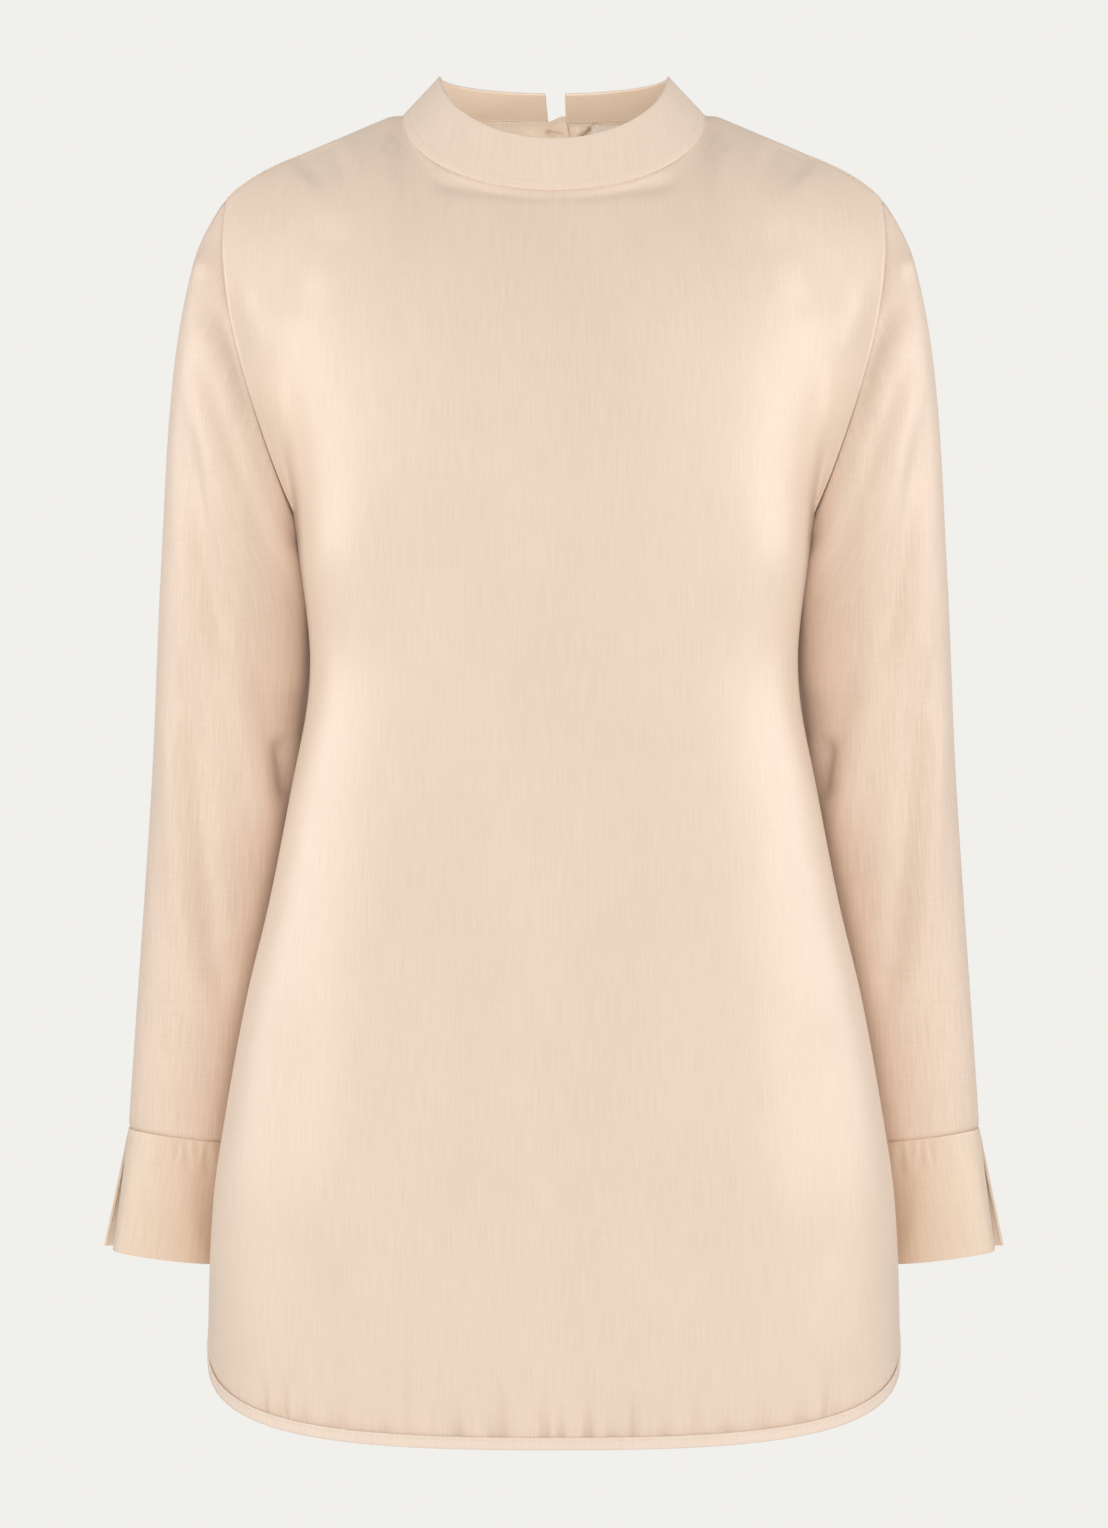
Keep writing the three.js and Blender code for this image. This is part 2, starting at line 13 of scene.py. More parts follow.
import bpy
import numpy as np
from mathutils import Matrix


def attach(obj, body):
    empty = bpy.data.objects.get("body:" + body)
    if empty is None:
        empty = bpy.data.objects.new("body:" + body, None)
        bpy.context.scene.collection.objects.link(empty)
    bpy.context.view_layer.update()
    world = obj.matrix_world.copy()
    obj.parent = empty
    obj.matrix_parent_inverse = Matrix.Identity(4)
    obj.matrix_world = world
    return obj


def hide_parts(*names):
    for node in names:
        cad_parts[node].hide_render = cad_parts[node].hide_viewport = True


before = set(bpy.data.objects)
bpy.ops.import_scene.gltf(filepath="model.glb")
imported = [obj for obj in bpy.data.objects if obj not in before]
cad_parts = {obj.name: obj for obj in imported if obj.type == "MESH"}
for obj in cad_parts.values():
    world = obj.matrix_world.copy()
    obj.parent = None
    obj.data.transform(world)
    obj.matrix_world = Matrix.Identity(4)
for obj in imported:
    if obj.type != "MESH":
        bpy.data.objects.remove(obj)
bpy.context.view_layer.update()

# %% [markdown]
# ## Small tools for shapes
# Cloth is easiest to shape as a grid of points: rows run across the piece, columns run down it.
# Sizes are in millimetres, as on a paper pattern, and turn to metres when a mesh is made. A short
# table gives sizes at a few places, and a smooth curve fills in between its rows.

# %% Tools: tables, blends and curves
MM = 0.001


def table(columns, *rows):
    return dict(zip(columns.split(), np.array(rows, float).T))


def read(sizes, column, place, key="z"):
    keys, values = sizes[key], sizes[column]
    place = np.asarray(place, float)
    last = len(keys) - 1
    before = np.maximum(np.arange(last + 1) - 1, 0)
    after = np.minimum(np.arange(last + 1) + 1, last)
    slope = (values[after] - values[before]) / (keys[after] - keys[before])
    way = np.sign(keys[-1] - keys[0])
    i = np.clip(np.searchsorted(way * keys, way * place, side="right") - 1, 0, last - 1)
    span = keys[i + 1] - keys[i]
    t = np.clip((place - keys[i]) / span, 0, 1)
    stay = 2 * t**3 - 3 * t**2 + 1
    leave = t**3 - 2 * t**2 + t
    arrive = t**3 - t**2
    bend = span * (leave * slope[i] + arrive * slope[i + 1])
    return stay * values[i] + (1 - stay) * values[i + 1] + bend


def mix(a, b, t):
    return a + (b - a) * t


def smooth(t):
    t = np.clip(t, 0, 1)
    return t * t * (3 - 2 * t)


def points(x, y, z):
    return np.stack(np.broadcast_arrays(x, y, z), axis=-1).astype(float)


def unit(vectors):
    return vectors / np.maximum(np.linalg.norm(vectors, axis=-1, keepdims=True), 1e-9)


def bezier(a, b, c, d, t):
    s = 1 - t
    return a * s**3 + b * 3 * s * s * t + c * 3 * s * t * t + d * t**3


# %% [markdown]
# ## The cut of the neck, shoulders and body
# A sewn garment takes its shape from its cut: how wide it is at each height, where its seams run
# and how the cloth hangs from the shoulders. These are the same sizes as the plain part's, so the
# cloth lies on it. The wearer's left is at +X and the front faces -Y.

# %% Sizes of the neck, shoulders and body
NECK = {"half": 87.6, "frontY": -75, "frontZ": -49.9, "backY": 74, "backZ": 4}
NECK_SHARE = 0.4
SHOULDER = {"x": 191.6, "fall": 44, "round": 8, "roundPower": 8}
UNDERARM = {"x": 148, "y": 5, "z": -246}
BODY = table(
    "z half front back",
    (-246, 148, 119, 98),
    (-283, 142, 115, 95),
    (-336, 143, 109, 91),
    (-394, 153.6, 108, 95),
    (-458, 166, 111, 105),
    (-517, 180, 117, 114),
    (-581, 191.6, 123, 121),
    (-634, 199, 128, 125),
    (-715, 202, 132, 128),
    (-790, 201, 134, 129),
)
FULLNESS = {"front": 0.85, "back": 0.95}
HEM = {"z": -765, "sideRise": 44, "sidePower": 3.2, "cornerRise": 6, "cornerPower": 30}
THREAD_TOP = {
    "front": table(
        "share x y z",
        (0, 0, -103, -108),
        (0.2, 54, -99, -90),
        (0.4, 91, -84, -58),
        (0.55, 116, -76, -50),
        (0.7, 144, -70, -58),
        (0.85, 174, -61, -84),
        (1, 204, -48, -118),
    ),
    "back": table(
        "share x y z",
        (0, 0, 104, -52),
        (0.2, 54, 101, -48),
        (0.4, 91, 90, -40),
        (0.55, 116, 80, -44),
        (0.7, 144, 72, -56),
        (0.85, 174, 61, -84),
        (1, 202, 46, -120),
    ),
}
ARMHOLE_FOOT = {"front": (146, -66, -241), "back": (148, 66, -241)}
TIED_SHARE = 0.6
SETTLE = 88
FACING = {"front": -1, "back": 1}

# %% Threads of the body, from shoulder to hem
QUARTER = math.pi / 2


def neck_point(turn, side):
    ahead = np.cos(turn)
    y = np.where(ahead > 0, NECK["frontY"] * ahead, -NECK["backY"] * ahead)
    z = np.where(ahead > 0, NECK["frontZ"] * ahead, -NECK["backZ"] * ahead)
    return points(side * NECK["half"] * np.sin(turn), y, z)


def shoulder_point(t, side):
    z = -SHOULDER["fall"] * t - SHOULDER["round"] * t ** SHOULDER["roundPower"]
    return points(side * mix(NECK["half"], SHOULDER["x"], t), 0, z)


def body_point(across, z, face):
    turn = across * QUARTER
    out = FACING[face] * read(BODY, face, z) - UNDERARM["y"]
    round_to = np.maximum(0, np.cos(turn)) ** FULLNESS[face]
    return points(read(BODY, "half", z) * np.sin(turn), UNDERARM["y"] + out * round_to, z)


def top_edge(across, face):
    side = np.where(across < 0, -1, 1)
    share = np.abs(across)
    turn = np.minimum(share / NECK_SHARE, 1) * QUARTER
    neck = neck_point(turn if face == "front" else math.pi - turn, side)
    shoulder = shoulder_point(np.clip((share - NECK_SHARE) / (1 - NECK_SHARE), 0, 1), side)
    return np.where((share >= NECK_SHARE)[..., None], shoulder, neck)


def upper_thread(across, face):
    side = np.where(across < 0, -1, 1)
    share = np.abs(across)
    x, y, z = (read(THREAD_TOP[face], column, share, "share") for column in "xyz")
    foot = body_point(across, UNDERARM["z"], face)
    free = foot + (foot - body_point(across, UNDERARM["z"] - 1, face)) * SETTLE
    tied_x, tied_y, tied_z = ARMHOLE_FOOT[face]
    hold = np.clip((share - TIED_SHARE) / (1 - TIED_SHARE), 0, 1) ** 2
    settle = mix(free, points(side * tied_x, tied_y, tied_z), hold[..., None])
    return top_edge(across, face), points(side * x, y, z), settle, foot


def hem_rise(across):
    share = np.abs(across)
    corner = HEM["cornerRise"] * share ** HEM["cornerPower"]
    return HEM["sideRise"] * share ** HEM["sidePower"] + corner


def panel_grid(across, upper, lower, face):
    steer = upper_thread(across, face)
    top = bezier(*(s[None] for s in steer), upper[:, None, None])
    z = UNDERARM["z"] - lower[:, None] * (UNDERARM["z"] - HEM["z"] - hem_rise(across))
    return np.concatenate([top, body_point(across[None], z, face)[1:]])


# %% [markdown]
# ## The cut of the sleeves, cuffs and collar
# A set-in sleeve starts on the same seam line as the armhole, so its first ring of points is the
# edge of the front and back panels. From there its threads bend over the shoulder and run down
# the arm. The cuff flares out from the sleeve's foot, and the collar stands on the neckline.

# %% Sizes and threads of the sleeves, cuffs and collar
SLEEVE = table(
    "z outer inner y deep tilt",
    (-300, 233, 142, 29, 54, 0),
    (-380, 237, 147, 41, 50, 0.03),
    (-450, 242, 159, 51, 46, 0.06),
    (-525, 247.8, 175, 60, 42, 0.1),
    (-595, 252.8, 187, 64, 38, 0.13),
)
SLEEVE_HEAD = {"leave": 46, "settle": 62, "most": 0.4}
SLEEVE_WAY = {"out": 0.12, "outAtTop": 0.48, "round": 0.42, "down": 0.8}
CUFF = {"height": 71, "outer": 268.3, "inner": 195, "y": 66, "deep": 40}
CUFF_SLIT = {"top": 1, "foot": 2.4, "step": 7, "back": 9}
COLLAR_TOP = {"half": 66.5, "frontY": -68, "frontZ": -20.2, "sideZ": 22.5, "backY": 56, "backZ": 18.9}
COLLAR_GAP = {"left": 5, "leftFoot": 3.5, "right": 6.5, "rightFoot": 7}
COLLAR_TILT_POWER = 1.12


def armhole_point(turn, side):
    near = np.minimum(turn, 2 * math.pi - turn) / math.pi
    edge = np.array([float(side)])
    rings = {f: bezier(*(s[0] for s in upper_thread(edge, f)), near[:, None]) for f in FACING}
    return np.where((turn <= math.pi)[:, None], rings["front"], rings["back"])


def sleeve_section(z, turn, side):
    outer, inner, y, deep, tilt = (read(SLEEVE, c, z) for c in ("outer", "inner", "y", "deep", "tilt"))
    x = (outer + inner) / 2 + (outer - inner) / 2 * np.cos(turn)
    return points(side * x, y - deep * np.sin(turn), z - tilt * (outer - x))


def sleeve_grid(turn, head, arm, side):
    first, last = SLEEVE["z"][0], SLEEVE["z"][-1]
    start = armhole_point(turn, side)
    foot = sleeve_section(first, turn, side)
    out = SLEEVE_WAY["out"] + SLEEVE_WAY["outAtTop"] * np.cos(turn / 2) ** 2
    away = unit(points(side * out, -SLEEVE_WAY["round"] * np.sin(turn), -SLEEVE_WAY["down"]))
    most = np.linalg.norm(start - foot, axis=-1, keepdims=True) * SLEEVE_HEAD["most"]
    leave = start + away * np.minimum(SLEEVE_HEAD["leave"], most)
    back_up = foot - sleeve_section(first - 1, turn, side)
    settle = foot + back_up * np.minimum(SLEEVE_HEAD["settle"], most)
    steer = (s[None] for s in (start, leave, settle, foot))
    rows = bezier(*steer, head[:, None, None])
    return np.concatenate([rows, sleeve_section(mix(first, last, arm[1:, None]), turn[None], side)])


def cuff_point(t, turn, side):
    last = {column: values[-1] for column, values in SLEEVE.items()}
    wide = mix(last["outer"] - last["inner"], CUFF["outer"] - CUFF["inner"], t) / 2
    middle = mix(last["outer"] + last["inner"], CUFF["outer"] + CUFF["inner"], t) / 2
    x = middle + wide * np.cos(turn)
    y = mix(last["y"], CUFF["y"], t) - mix(last["deep"], CUFF["deep"], t) * np.sin(turn)
    return points(side * x, y, last["z"] - CUFF["height"] * t - last["tilt"] * (middle + wide - x))


def collar_top_point(turn, side):
    ahead = np.cos(turn)
    tilt = np.abs(ahead) ** np.where(ahead > 0, COLLAR_TILT_POWER, 1)
    far = np.where(ahead > 0, COLLAR_TOP["frontZ"], COLLAR_TOP["backZ"])
    y = np.where(ahead > 0, COLLAR_TOP["frontY"] * ahead, -COLLAR_TOP["backY"] * ahead)
    return points(side * COLLAR_TOP["half"] * np.sin(turn), y, mix(COLLAR_TOP["sideZ"], far, tilt))


# %% [markdown]
# ## Folds
# Cloth tells its weight by its folds. Satin like this hangs smooth over the chest, breaks softly
# where a sleeve bends, and puckers a little where it is stitched to a band. The folds are listed
# one by one: each is a soft trough that follows a short path and fades at both ends. A trough with
# a negative depth is a ridge. A swell is a broad, low bulge where the cloth stands fuller. Places
# are given on the front or back as seen: x across, z up.

# %% Soft troughs along paths, and broad swells
END_FADE = 0.3
PATH_STEPS = 14


def smooth_path(corners):
    corners = np.array(corners, float)
    place = np.linspace(0, len(corners) - 1, PATH_STEPS)
    steps = table("i x z", *[(i, x, z) for i, (x, z) in enumerate(corners)])
    return np.stack([read(steps, c, place, "i") for c in ("x", "z")], axis=-1)


def trough(places, corners, width, depth):
    path = smooth_path(corners)
    legs = np.linalg.norm(np.diff(path, axis=0), axis=-1)
    run = np.concatenate([[0], np.cumsum(legs)])
    nearest = np.full(places.shape[:-1], np.inf)
    along = np.zeros(places.shape[:-1])
    for a, b, leg, start in zip(path[:-1], path[1:], legs, run):
        t = np.clip(((places - a) @ (b - a)) / leg**2, 0, 1)
        away = np.linalg.norm(places - (a + t[..., None] * (b - a)), axis=-1)
        closer = away < nearest
        nearest = np.where(closer, away, nearest)
        along = np.where(closer, (start + t * leg) / run[-1], along)
    fade = smooth(np.minimum(along, 1 - along) / END_FADE)
    return depth * np.exp(-((nearest / width) ** 2)) * fade


def pressed(places, folds):
    total = np.zeros(places.shape[:-1])
    for width, depth, *corners in folds:
        total += trough(places, corners, width, depth)
    return total


def swollen(places, swells):
    total = np.zeros(places.shape[:-1])
    for x, z, wide, tall, height in zip(*(swells[c] for c in ("x", "z", "wide", "tall", "height"))):
        away = ((places[..., 0] - x) / wide) ** 2 + ((places[..., 1] - z) / tall) ** 2
        total += height * np.exp(-away)
    return total


# %% [markdown]
# ## From a grid to a sheet of cloth
# One function makes the mesh: it moves each point along its normal by the fold's depth, joins the
# grid into faces, lays out the UV map in the cloth's own metres (so a weave follows the threads),
# and lets Solidify give the sheet its thickness. The modifiers are applied at once, which leaves
# a plain mesh with its place in its points.

# %% Sheets of cloth
def grid_normals(grid, outward, wrap=False):
    down = np.gradient(grid, axis=0)
    if wrap:
        across = np.roll(grid, -1, axis=1) - np.roll(grid, 1, axis=1)
    else:
        across = np.gradient(grid, axis=1)
    return unit(np.cross(down, across)) * outward


def thread_lengths(grid, centre=0):
    steps_across = np.linalg.norm(np.diff(grid, axis=1), axis=-1)
    across = np.concatenate([np.zeros((len(grid), 1)), np.cumsum(steps_across, axis=1)], axis=1)
    steps_down = np.linalg.norm(np.diff(grid, axis=0), axis=-1)
    down = np.concatenate([np.zeros((1, grid.shape[1])), np.cumsum(steps_down, axis=0)])
    return across - across[:, centre : centre + 1], down[-1:] - down


def plain_mesh(piece):
    graph = bpy.context.evaluated_depsgraph_get()
    finished = bpy.data.meshes.new_from_object(piece.evaluated_get(graph))
    piece.modifiers.clear()
    piece.data = finished
    finished.name = piece.name
    return piece


RIM_ROUNDS = 3
RIM_ANGLE = 50


def smooth_faces(mesh):
    mesh.polygons.foreach_set("use_smooth", np.ones(len(mesh.polygons), bool))


def sheet_of_cloth(name, grid, lengths, outward, wall, finishes, wrap=False, hole=None, bevel=0):
    rows, columns = grid.shape[:2]
    index = np.arange(rows * columns).reshape(rows, columns)
    beside = np.roll(index, -1, axis=1) if wrap else index[:, 1:]
    first = index if wrap else index[:, :-1]
    corners = np.stack([first[:-1], first[1:], beside[1:], beside[:-1]], axis=-1)
    keep = np.ones(corners.shape[:2], bool) if hole is None else ~hole
    if outward < 0:
        corners = corners[..., ::-1]
    faces = corners[keep]
    u, v = lengths
    seam = np.linalg.norm(grid[:, :1] - grid[:, -1:], axis=-1)
    loops_u = np.stack([u[:-1, :-1], u[1:, :-1], u[1:, 1:], u[:-1, 1:]], axis=-1)
    loops_v = np.stack([v[:-1, :-1], v[1:, :-1], v[1:, 1:], v[:-1, 1:]], axis=-1)
    if wrap:
        past = u[:, -1] + seam[:, 0]
        end_u = np.stack([u[:-1, -1], u[1:, -1], past[1:], past[:-1]], axis=-1)
        end_v = np.stack([v[:-1, -1], v[1:, -1], v[1:, 0], v[:-1, 0]], axis=-1)
        loops_u = np.concatenate([loops_u, end_u[:, None]], axis=1)
        loops_v = np.concatenate([loops_v, end_v[:, None]], axis=1)
    if outward < 0:
        loops_u, loops_v = loops_u[..., ::-1], loops_v[..., ::-1]
    loops = np.stack([loops_u[keep], loops_v[keep]], axis=-1).reshape(-1, 2) * MM
    mesh = bpy.data.meshes.new(name)
    mesh.from_pydata((grid.reshape(-1, 3) * MM).tolist(), [], faces.tolist())
    mesh.uv_layers.new(name="cloth").data.foreach_set("uv", loops.ravel())
    smooth_faces(mesh)
    for finish in finishes:
        mesh.materials.append(finish)
    piece = bpy.data.objects.new(name, mesh)
    bpy.context.scene.collection.objects.link(piece)
    solidify = piece.modifiers.new("wall", "SOLIDIFY")
    solidify.thickness = wall * MM
    solidify.offset = -1
    solidify.material_offset = len(finishes) - 1
    if bevel:
        rim = piece.modifiers.new("rim", "BEVEL")
        rim.width = bevel * MM
        rim.segments = RIM_ROUNDS
        rim.limit_method = "ANGLE"
        rim.angle_limit = math.radians(RIM_ANGLE)
    plain_mesh(piece)
    print(f"{name}: {len(piece.data.polygons)} faces")
    return piece


# %% [markdown]
# ## Satin cloth
# This cloth is a viscose satin in a pale champagne colour. Its long floating warp threads give a
# broad, soft shine and fine streaks that run down the garment, with much weaker lines across. The
# threads are about a quarter of a millimetre apart, too fine to show, so the streaks are drawn
# about a millimetre wide and a few centimetres long. Broad, faint patches vary the tone, as on
# cloth that has hung. Colour and bump both read the cloth's own UV map, in metres. The shine is
# drawn out across the threads, which is what sets satin apart from a plain weave. Where the cloth
# is doubled over interlining it is duller, and its reverse is nearly matte.

# %% Tools for materials
def linear(hex_colour):
    channels = [int(hex_colour[i : i + 2], 16) / 255 for i in (1, 3, 5)]
    return [c / 12.92 if c <= 0.04045 else ((c + 0.055) / 1.055) ** 2.4 for c in channels] + [1]


def add_node(tree, kind, settings=None, **links):
    node = tree.nodes.new(kind)
    for name, value in (settings or {}).items():
        if name in node.inputs:
            node.inputs[name].default_value = value
        else:
            setattr(node, name, value)
    for name, source in links.items():
        socket = node.inputs[int(name[1:])] if name[1:].isdigit() else node.inputs[name.replace("_", " ")]
        tree.links.new(source, socket)
    return node


# %% The satin finish
STREAK_WIDTH = 1
STREAK_LENGTH = 26
CROSS_WIDTH = 1.1
CROSS_LENGTH = 18
PATCH_SIZE = 60
SHARES = {"warp": 0.55, "weft": 0.2, "patches": 0.25}
TONE_RANGE = (0.36, 0.64)
THREAD_RELIEF = 0.00012


def satin(name, light, dark, roughness=0.42, across=0.0, shine=0.5, bump=0.25):
    material = bpy.data.materials.new(name)
    material.use_nodes = True
    tree = material.node_tree
    tree.nodes.clear()
    cloth = add_node(tree, "ShaderNodeUVMap", {"uv_map": "cloth"})

    def threads(width, length):
        scale = (1000 / width, 1000 / length, 1)
        laid = add_node(tree, "ShaderNodeMapping", {"Scale": scale}, Vector=cloth.outputs["UV"])
        settings = {"noise_dimensions": "2D", "Scale": 1, "Detail": 2, "Roughness": 0.6}
        return add_node(tree, "ShaderNodeTexNoise", settings, Vector=laid.outputs["Vector"]).outputs[0]

    noises = {
        "warp": threads(STREAK_WIDTH, STREAK_LENGTH),
        "weft": threads(CROSS_LENGTH, CROSS_WIDTH),
        "patches": threads(PATCH_SIZE, PATCH_SIZE * 2),
    }
    parts = {}
    for part, noise in noises.items():
        scaled = add_node(tree, "ShaderNodeMath", {"operation": "MULTIPLY"}, _0=noise)
        scaled.inputs[1].default_value = SHARES[part]
        parts[part] = scaled.outputs[0]
    weave = add_node(tree, "ShaderNodeMath", {"operation": "ADD"}, _0=parts["warp"], _1=parts["weft"])
    shade = add_node(tree, "ShaderNodeMath", {"operation": "ADD"}, _0=weave.outputs[0], _1=parts["patches"])
    ramp = add_node(tree, "ShaderNodeValToRGB", {}, Fac=shade.outputs[0])
    for stop, place, colour in zip(ramp.color_ramp.elements, TONE_RANGE, (dark, light)):
        stop.position = place
        stop.color = linear(colour)
    relief = {"Strength": bump, "Distance": THREAD_RELIEF}
    raised = add_node(tree, "ShaderNodeBump", relief, Height=weave.outputs[0])
    weft_way = add_node(tree, "ShaderNodeTangent", {"direction_type": "UV_MAP", "uv_map": "cloth"})
    finish = {
        "Roughness": roughness,
        "IOR": 1.5,
        "Specular IOR Level": shine,
        "Anisotropic": across,
        "Sheen Weight": 0.15,
        "Sheen Roughness": 0.4,
    }
    shader = add_node(
        tree,
        "ShaderNodeBsdfPrincipled",
        finish,
        Base_Color=ramp.outputs["Color"],
        Normal=raised.outputs["Normal"],
        Tangent=weft_way.outputs["Tangent"],
    )
    add_node(tree, "ShaderNodeOutputMaterial", {}, Surface=shader.outputs["BSDF"])
    return material


body_satin = satin("champagne viscose satin", "#E8D2BF", "#E1CBB8", roughness=0.4, across=0.3, shine=0.6)
# The sleeves' copy of the same satin has a darker dark tone: painted shade, for sleeves that catch less
# shine than the body.
sleeve_satin_painted_shade = satin("champagne satin, sleeves, painted shade", "#E8D1BE", "#DCC5B2", roughness=0.46, across=0.4, shine=0.5)
collar_satin = satin("champagne satin over interlining", "#EBD6C4", "#E3CEBC", roughness=0.5)
cuff_satin = satin("champagne satin, doubled cuff", "#E6CFB9", "#DCC5AF", roughness=0.46)
band_satin = satin("champagne satin, hem band", "#ECD8C8", "#E4D0C0", roughness=0.46)
matte_reverse = satin("matte reverse of the satin", "#E8D4BF", "#E0CCB6", roughness=0.7)
collar_inside = satin("collar's inner satin", "#E6D0B9", "#DCC6AE", roughness=0.55)
label_tape = satin("plain woven label tape", "#E6DACC", "#DDD0C0", roughness=0.7)

# %% [markdown]
# ## The front panel
# The front is one piece from the shoulders to the curved shirt-tail hem. It lies almost smooth:
# creases under the collar, short streaks from the collar's corners, a soft fold beside each
# armhole, long shallow waves lower down, and puckers above the hem band. Each row of a list of
# folds gives its width and depth, then the places it runs through, and is used on both sides. The
# puckers are listed one by one, because no two are alike.

# %% Folds of the front and back
FRONT_FOLDS = [
    (3, 1.3, (85, -2), (89, -10), (93, -20)),
    (3, 1.2, (91, -5), (95, -14), (99, -26)),
    (5, 2.4, (76, -42), (60, -46), (42, -49), (22, -51.5)),
    (4, 1.6, (38, -50), (16, -53), (-4, -53.5)),
    (14, 2.6, (118, -22), (132, -28), (148, -40)),
    (7, 1.6, (184, -98), (178, -118), (168, -142)),
    (12, 2.2, (120, -60), (140, -90), (150, -130)),
    (24, 4, (56, -300), (42, -430), (16, -600)),
    (30, -3.4, (100, -400), (108, -540), (116, -690)),
    (20, 2.6, (148, -500), (156, -620), (158, -720)),
    (16, -2.4, (20, -600), (22, -680), (24, -742)),
]
BACK_FOLDS = [
    (4, 0.9, (84, -2), (90, -12), (95, -24)),
    (14, 1.6, (112, -24), (128, -40), (140, -60)),
    (8, 1.6, (182, -100), (176, -122), (166, -148)),
    (22, 2.2, (38, -150), (44, -260), (50, -370)),
    (28, -2, (84, -300), (90, -430), (100, -600)),
    (24, 1.8, (128, -430), (140, -560), (146, -700)),
]
FRONT_SWELLS = table(
    "x z wide tall height",
    (-120, -264, 32, 42, 7),
    (120, -264, 32, 42, 7),
)
BACK_SWELLS = table(
    "x z wide tall height",
    (-84, -140, 50, 60, 4),
    (84, -140, 50, 60, 4),
)
HEM_PUCKERS = {
    "front": table(
        "x top width depth",
        (-167, 18, 3.2, 1.1),
        (-156, 26, 3.6, 1.3),
        (-144, 18, 3, 1),
        (-122, 19, 3.4, 1.1),
        (-95, 14, 3, 0.9),
        (-80, 68, 5, 1),
        (-53, 20, 3.2, 1.2),
        (-34, 13, 2.8, 0.9),
        (-28, 30, 3.4, 1.3),
        (-5, 24, 3, 1.1),
        (4, 18, 2.8, 0.9),
        (19, 22, 3.2, 1.1),
        (33, 12, 2.8, 0.9),
        (44, 28, 3.4, 1.2),
        (62, 16, 3, 0.9),
        (78, 40, 4.5, 0.9),
        (97, 15, 3, 1),
        (118, 21, 3.4, 1.1),
        (141, 17, 3, 1),
        (158, 25, 3.6, 1.2),
    ),
    "back": table(
        "x top width depth",
        (-160, 22, 3.4, 1.1),
        (-138, 16, 3, 1),
        (-104, 40, 4.5, 0.9),
        (-71, 18, 3.2, 1),
        (-40, 26, 3.4, 1.2),
        (-12, 15, 2.8, 0.9),
        (21, 24, 3.2, 1.1),
        (49, 14, 3, 0.9),
        (76, 52, 5, 0.9),
        (112, 20, 3.2, 1.1),
        (149, 24, 3.6, 1.2),
    ),
}


def both_sides(folds):
    mirrored = [(w, d, *[(-x, z) for x, z in path]) for w, d, *path in folds]
    return list(folds) + mirrored


# %% How deep the folds and puckers go
SEAM_HOLD = 7
PUCKER = {"strength": 3, "foot": 5, "reach": 1.5, "start": 0.2, "soft": 0.35}


def panel_relief(grid, across, face, folds, swells):
    places = grid[..., [0, 2]]
    drop = np.linalg.norm(grid - grid[:1], axis=-1)
    depth = (pressed(places, both_sides(folds)) - swollen(places, swells)) * smooth(drop / SEAM_HOLD)
    above_hem = grid[..., 2] - (HEM["z"] + hem_rise(across))
    rows = HEM_PUCKERS[face]
    for x, top, width, deep in zip(*(rows[c] for c in ("x", "top", "width", "depth"))):
        height = (above_hem - PUCKER["foot"]) / (PUCKER["reach"] * top)
        shape = np.exp(-(((grid[..., 0] - x) / width) ** 2))
        begins = smooth((height + PUCKER["start"]) / PUCKER["soft"])
        depth += PUCKER["strength"] * deep * shape * begins * (1 - smooth(height))
    return depth


# %% [markdown]
# ### Fine grids for the two panels
# The rows crowd together at the shoulders and the hem, and the columns at the centre, where the
# small folds are. Two corrections follow: the threads are evened out below the place where collar
# and shoulder seam meet, which would otherwise leave a hard line, and the cloth rises a little
# over the shoulder.

# %% Rows and columns of the panels
CENTRE = {"share": 0.07, "columns": 30}
SIDE_COLUMNS = 92
UPPER = {"rows": 84, "crowd": 1.45}
LOWER = {"rows": 116, "crowd": 1.35}
centre_columns = np.linspace(0, CENTRE["share"], CENTRE["columns"])
side_columns = np.linspace(CENTRE["share"], 1, SIDE_COLUMNS)
half_across = np.concatenate([centre_columns[:-1], side_columns])
across_front = np.concatenate([-half_across[::-1], half_across[1:]])
across_back = np.concatenate([-half_across[::-1], half_across])
upper_rows = np.linspace(0, 1, UPPER["rows"]) ** UPPER["crowd"]
lower_rows = 1 - (1 - np.linspace(0, 1, LOWER["rows"])) ** LOWER["crowd"]
print("front grid:", len(upper_rows) + len(lower_rows) - 1, "rows by", len(across_front), "columns")

# %% Even out the neck corner and raise the shoulder
CORNER_EASE = {"wide": 0.16, "deep": 24, "passes": 160}
SHOULDER_RISE = {"from": 84, "wide": 14, "foot": 110, "deep": 70, "most": 3.4}


def ease_neck_corner(grid, across):
    corner = np.exp(-(((np.abs(across) - NECK_SHARE) / CORNER_EASE["wide"]) ** 2))
    drop = np.linalg.norm(grid - grid[:1], axis=-1)
    weight = (corner[None] * smooth(drop / CORNER_EASE["deep"]))[..., None]
    for _ in range(CORNER_EASE["passes"]):
        beside = (grid[:, :-2] + 2 * grid[:, 1:-1] + grid[:, 2:]) / 4
        grid[:, 1:-1] = mix(grid[:, 1:-1], beside, weight[:, 1:-1])
    return grid


def raise_shoulder(grid):
    out = smooth((np.abs(grid[..., 0]) - SHOULDER_RISE["from"]) / SHOULDER_RISE["wide"])
    up = smooth((grid[..., 2] + SHOULDER_RISE["foot"]) / SHOULDER_RISE["deep"])
    grid[..., 2] += SHOULDER_RISE["most"] * out * up
    return grid


def panel_base(across, face):
    grid = panel_grid(across, upper_rows, lower_rows, face)
    return raise_shoulder(ease_neck_corner(grid, across))


# %% Seams of the panels
SEAM_TUCK = {"depth": 0.8, "width": 2.2, "fade": 40}


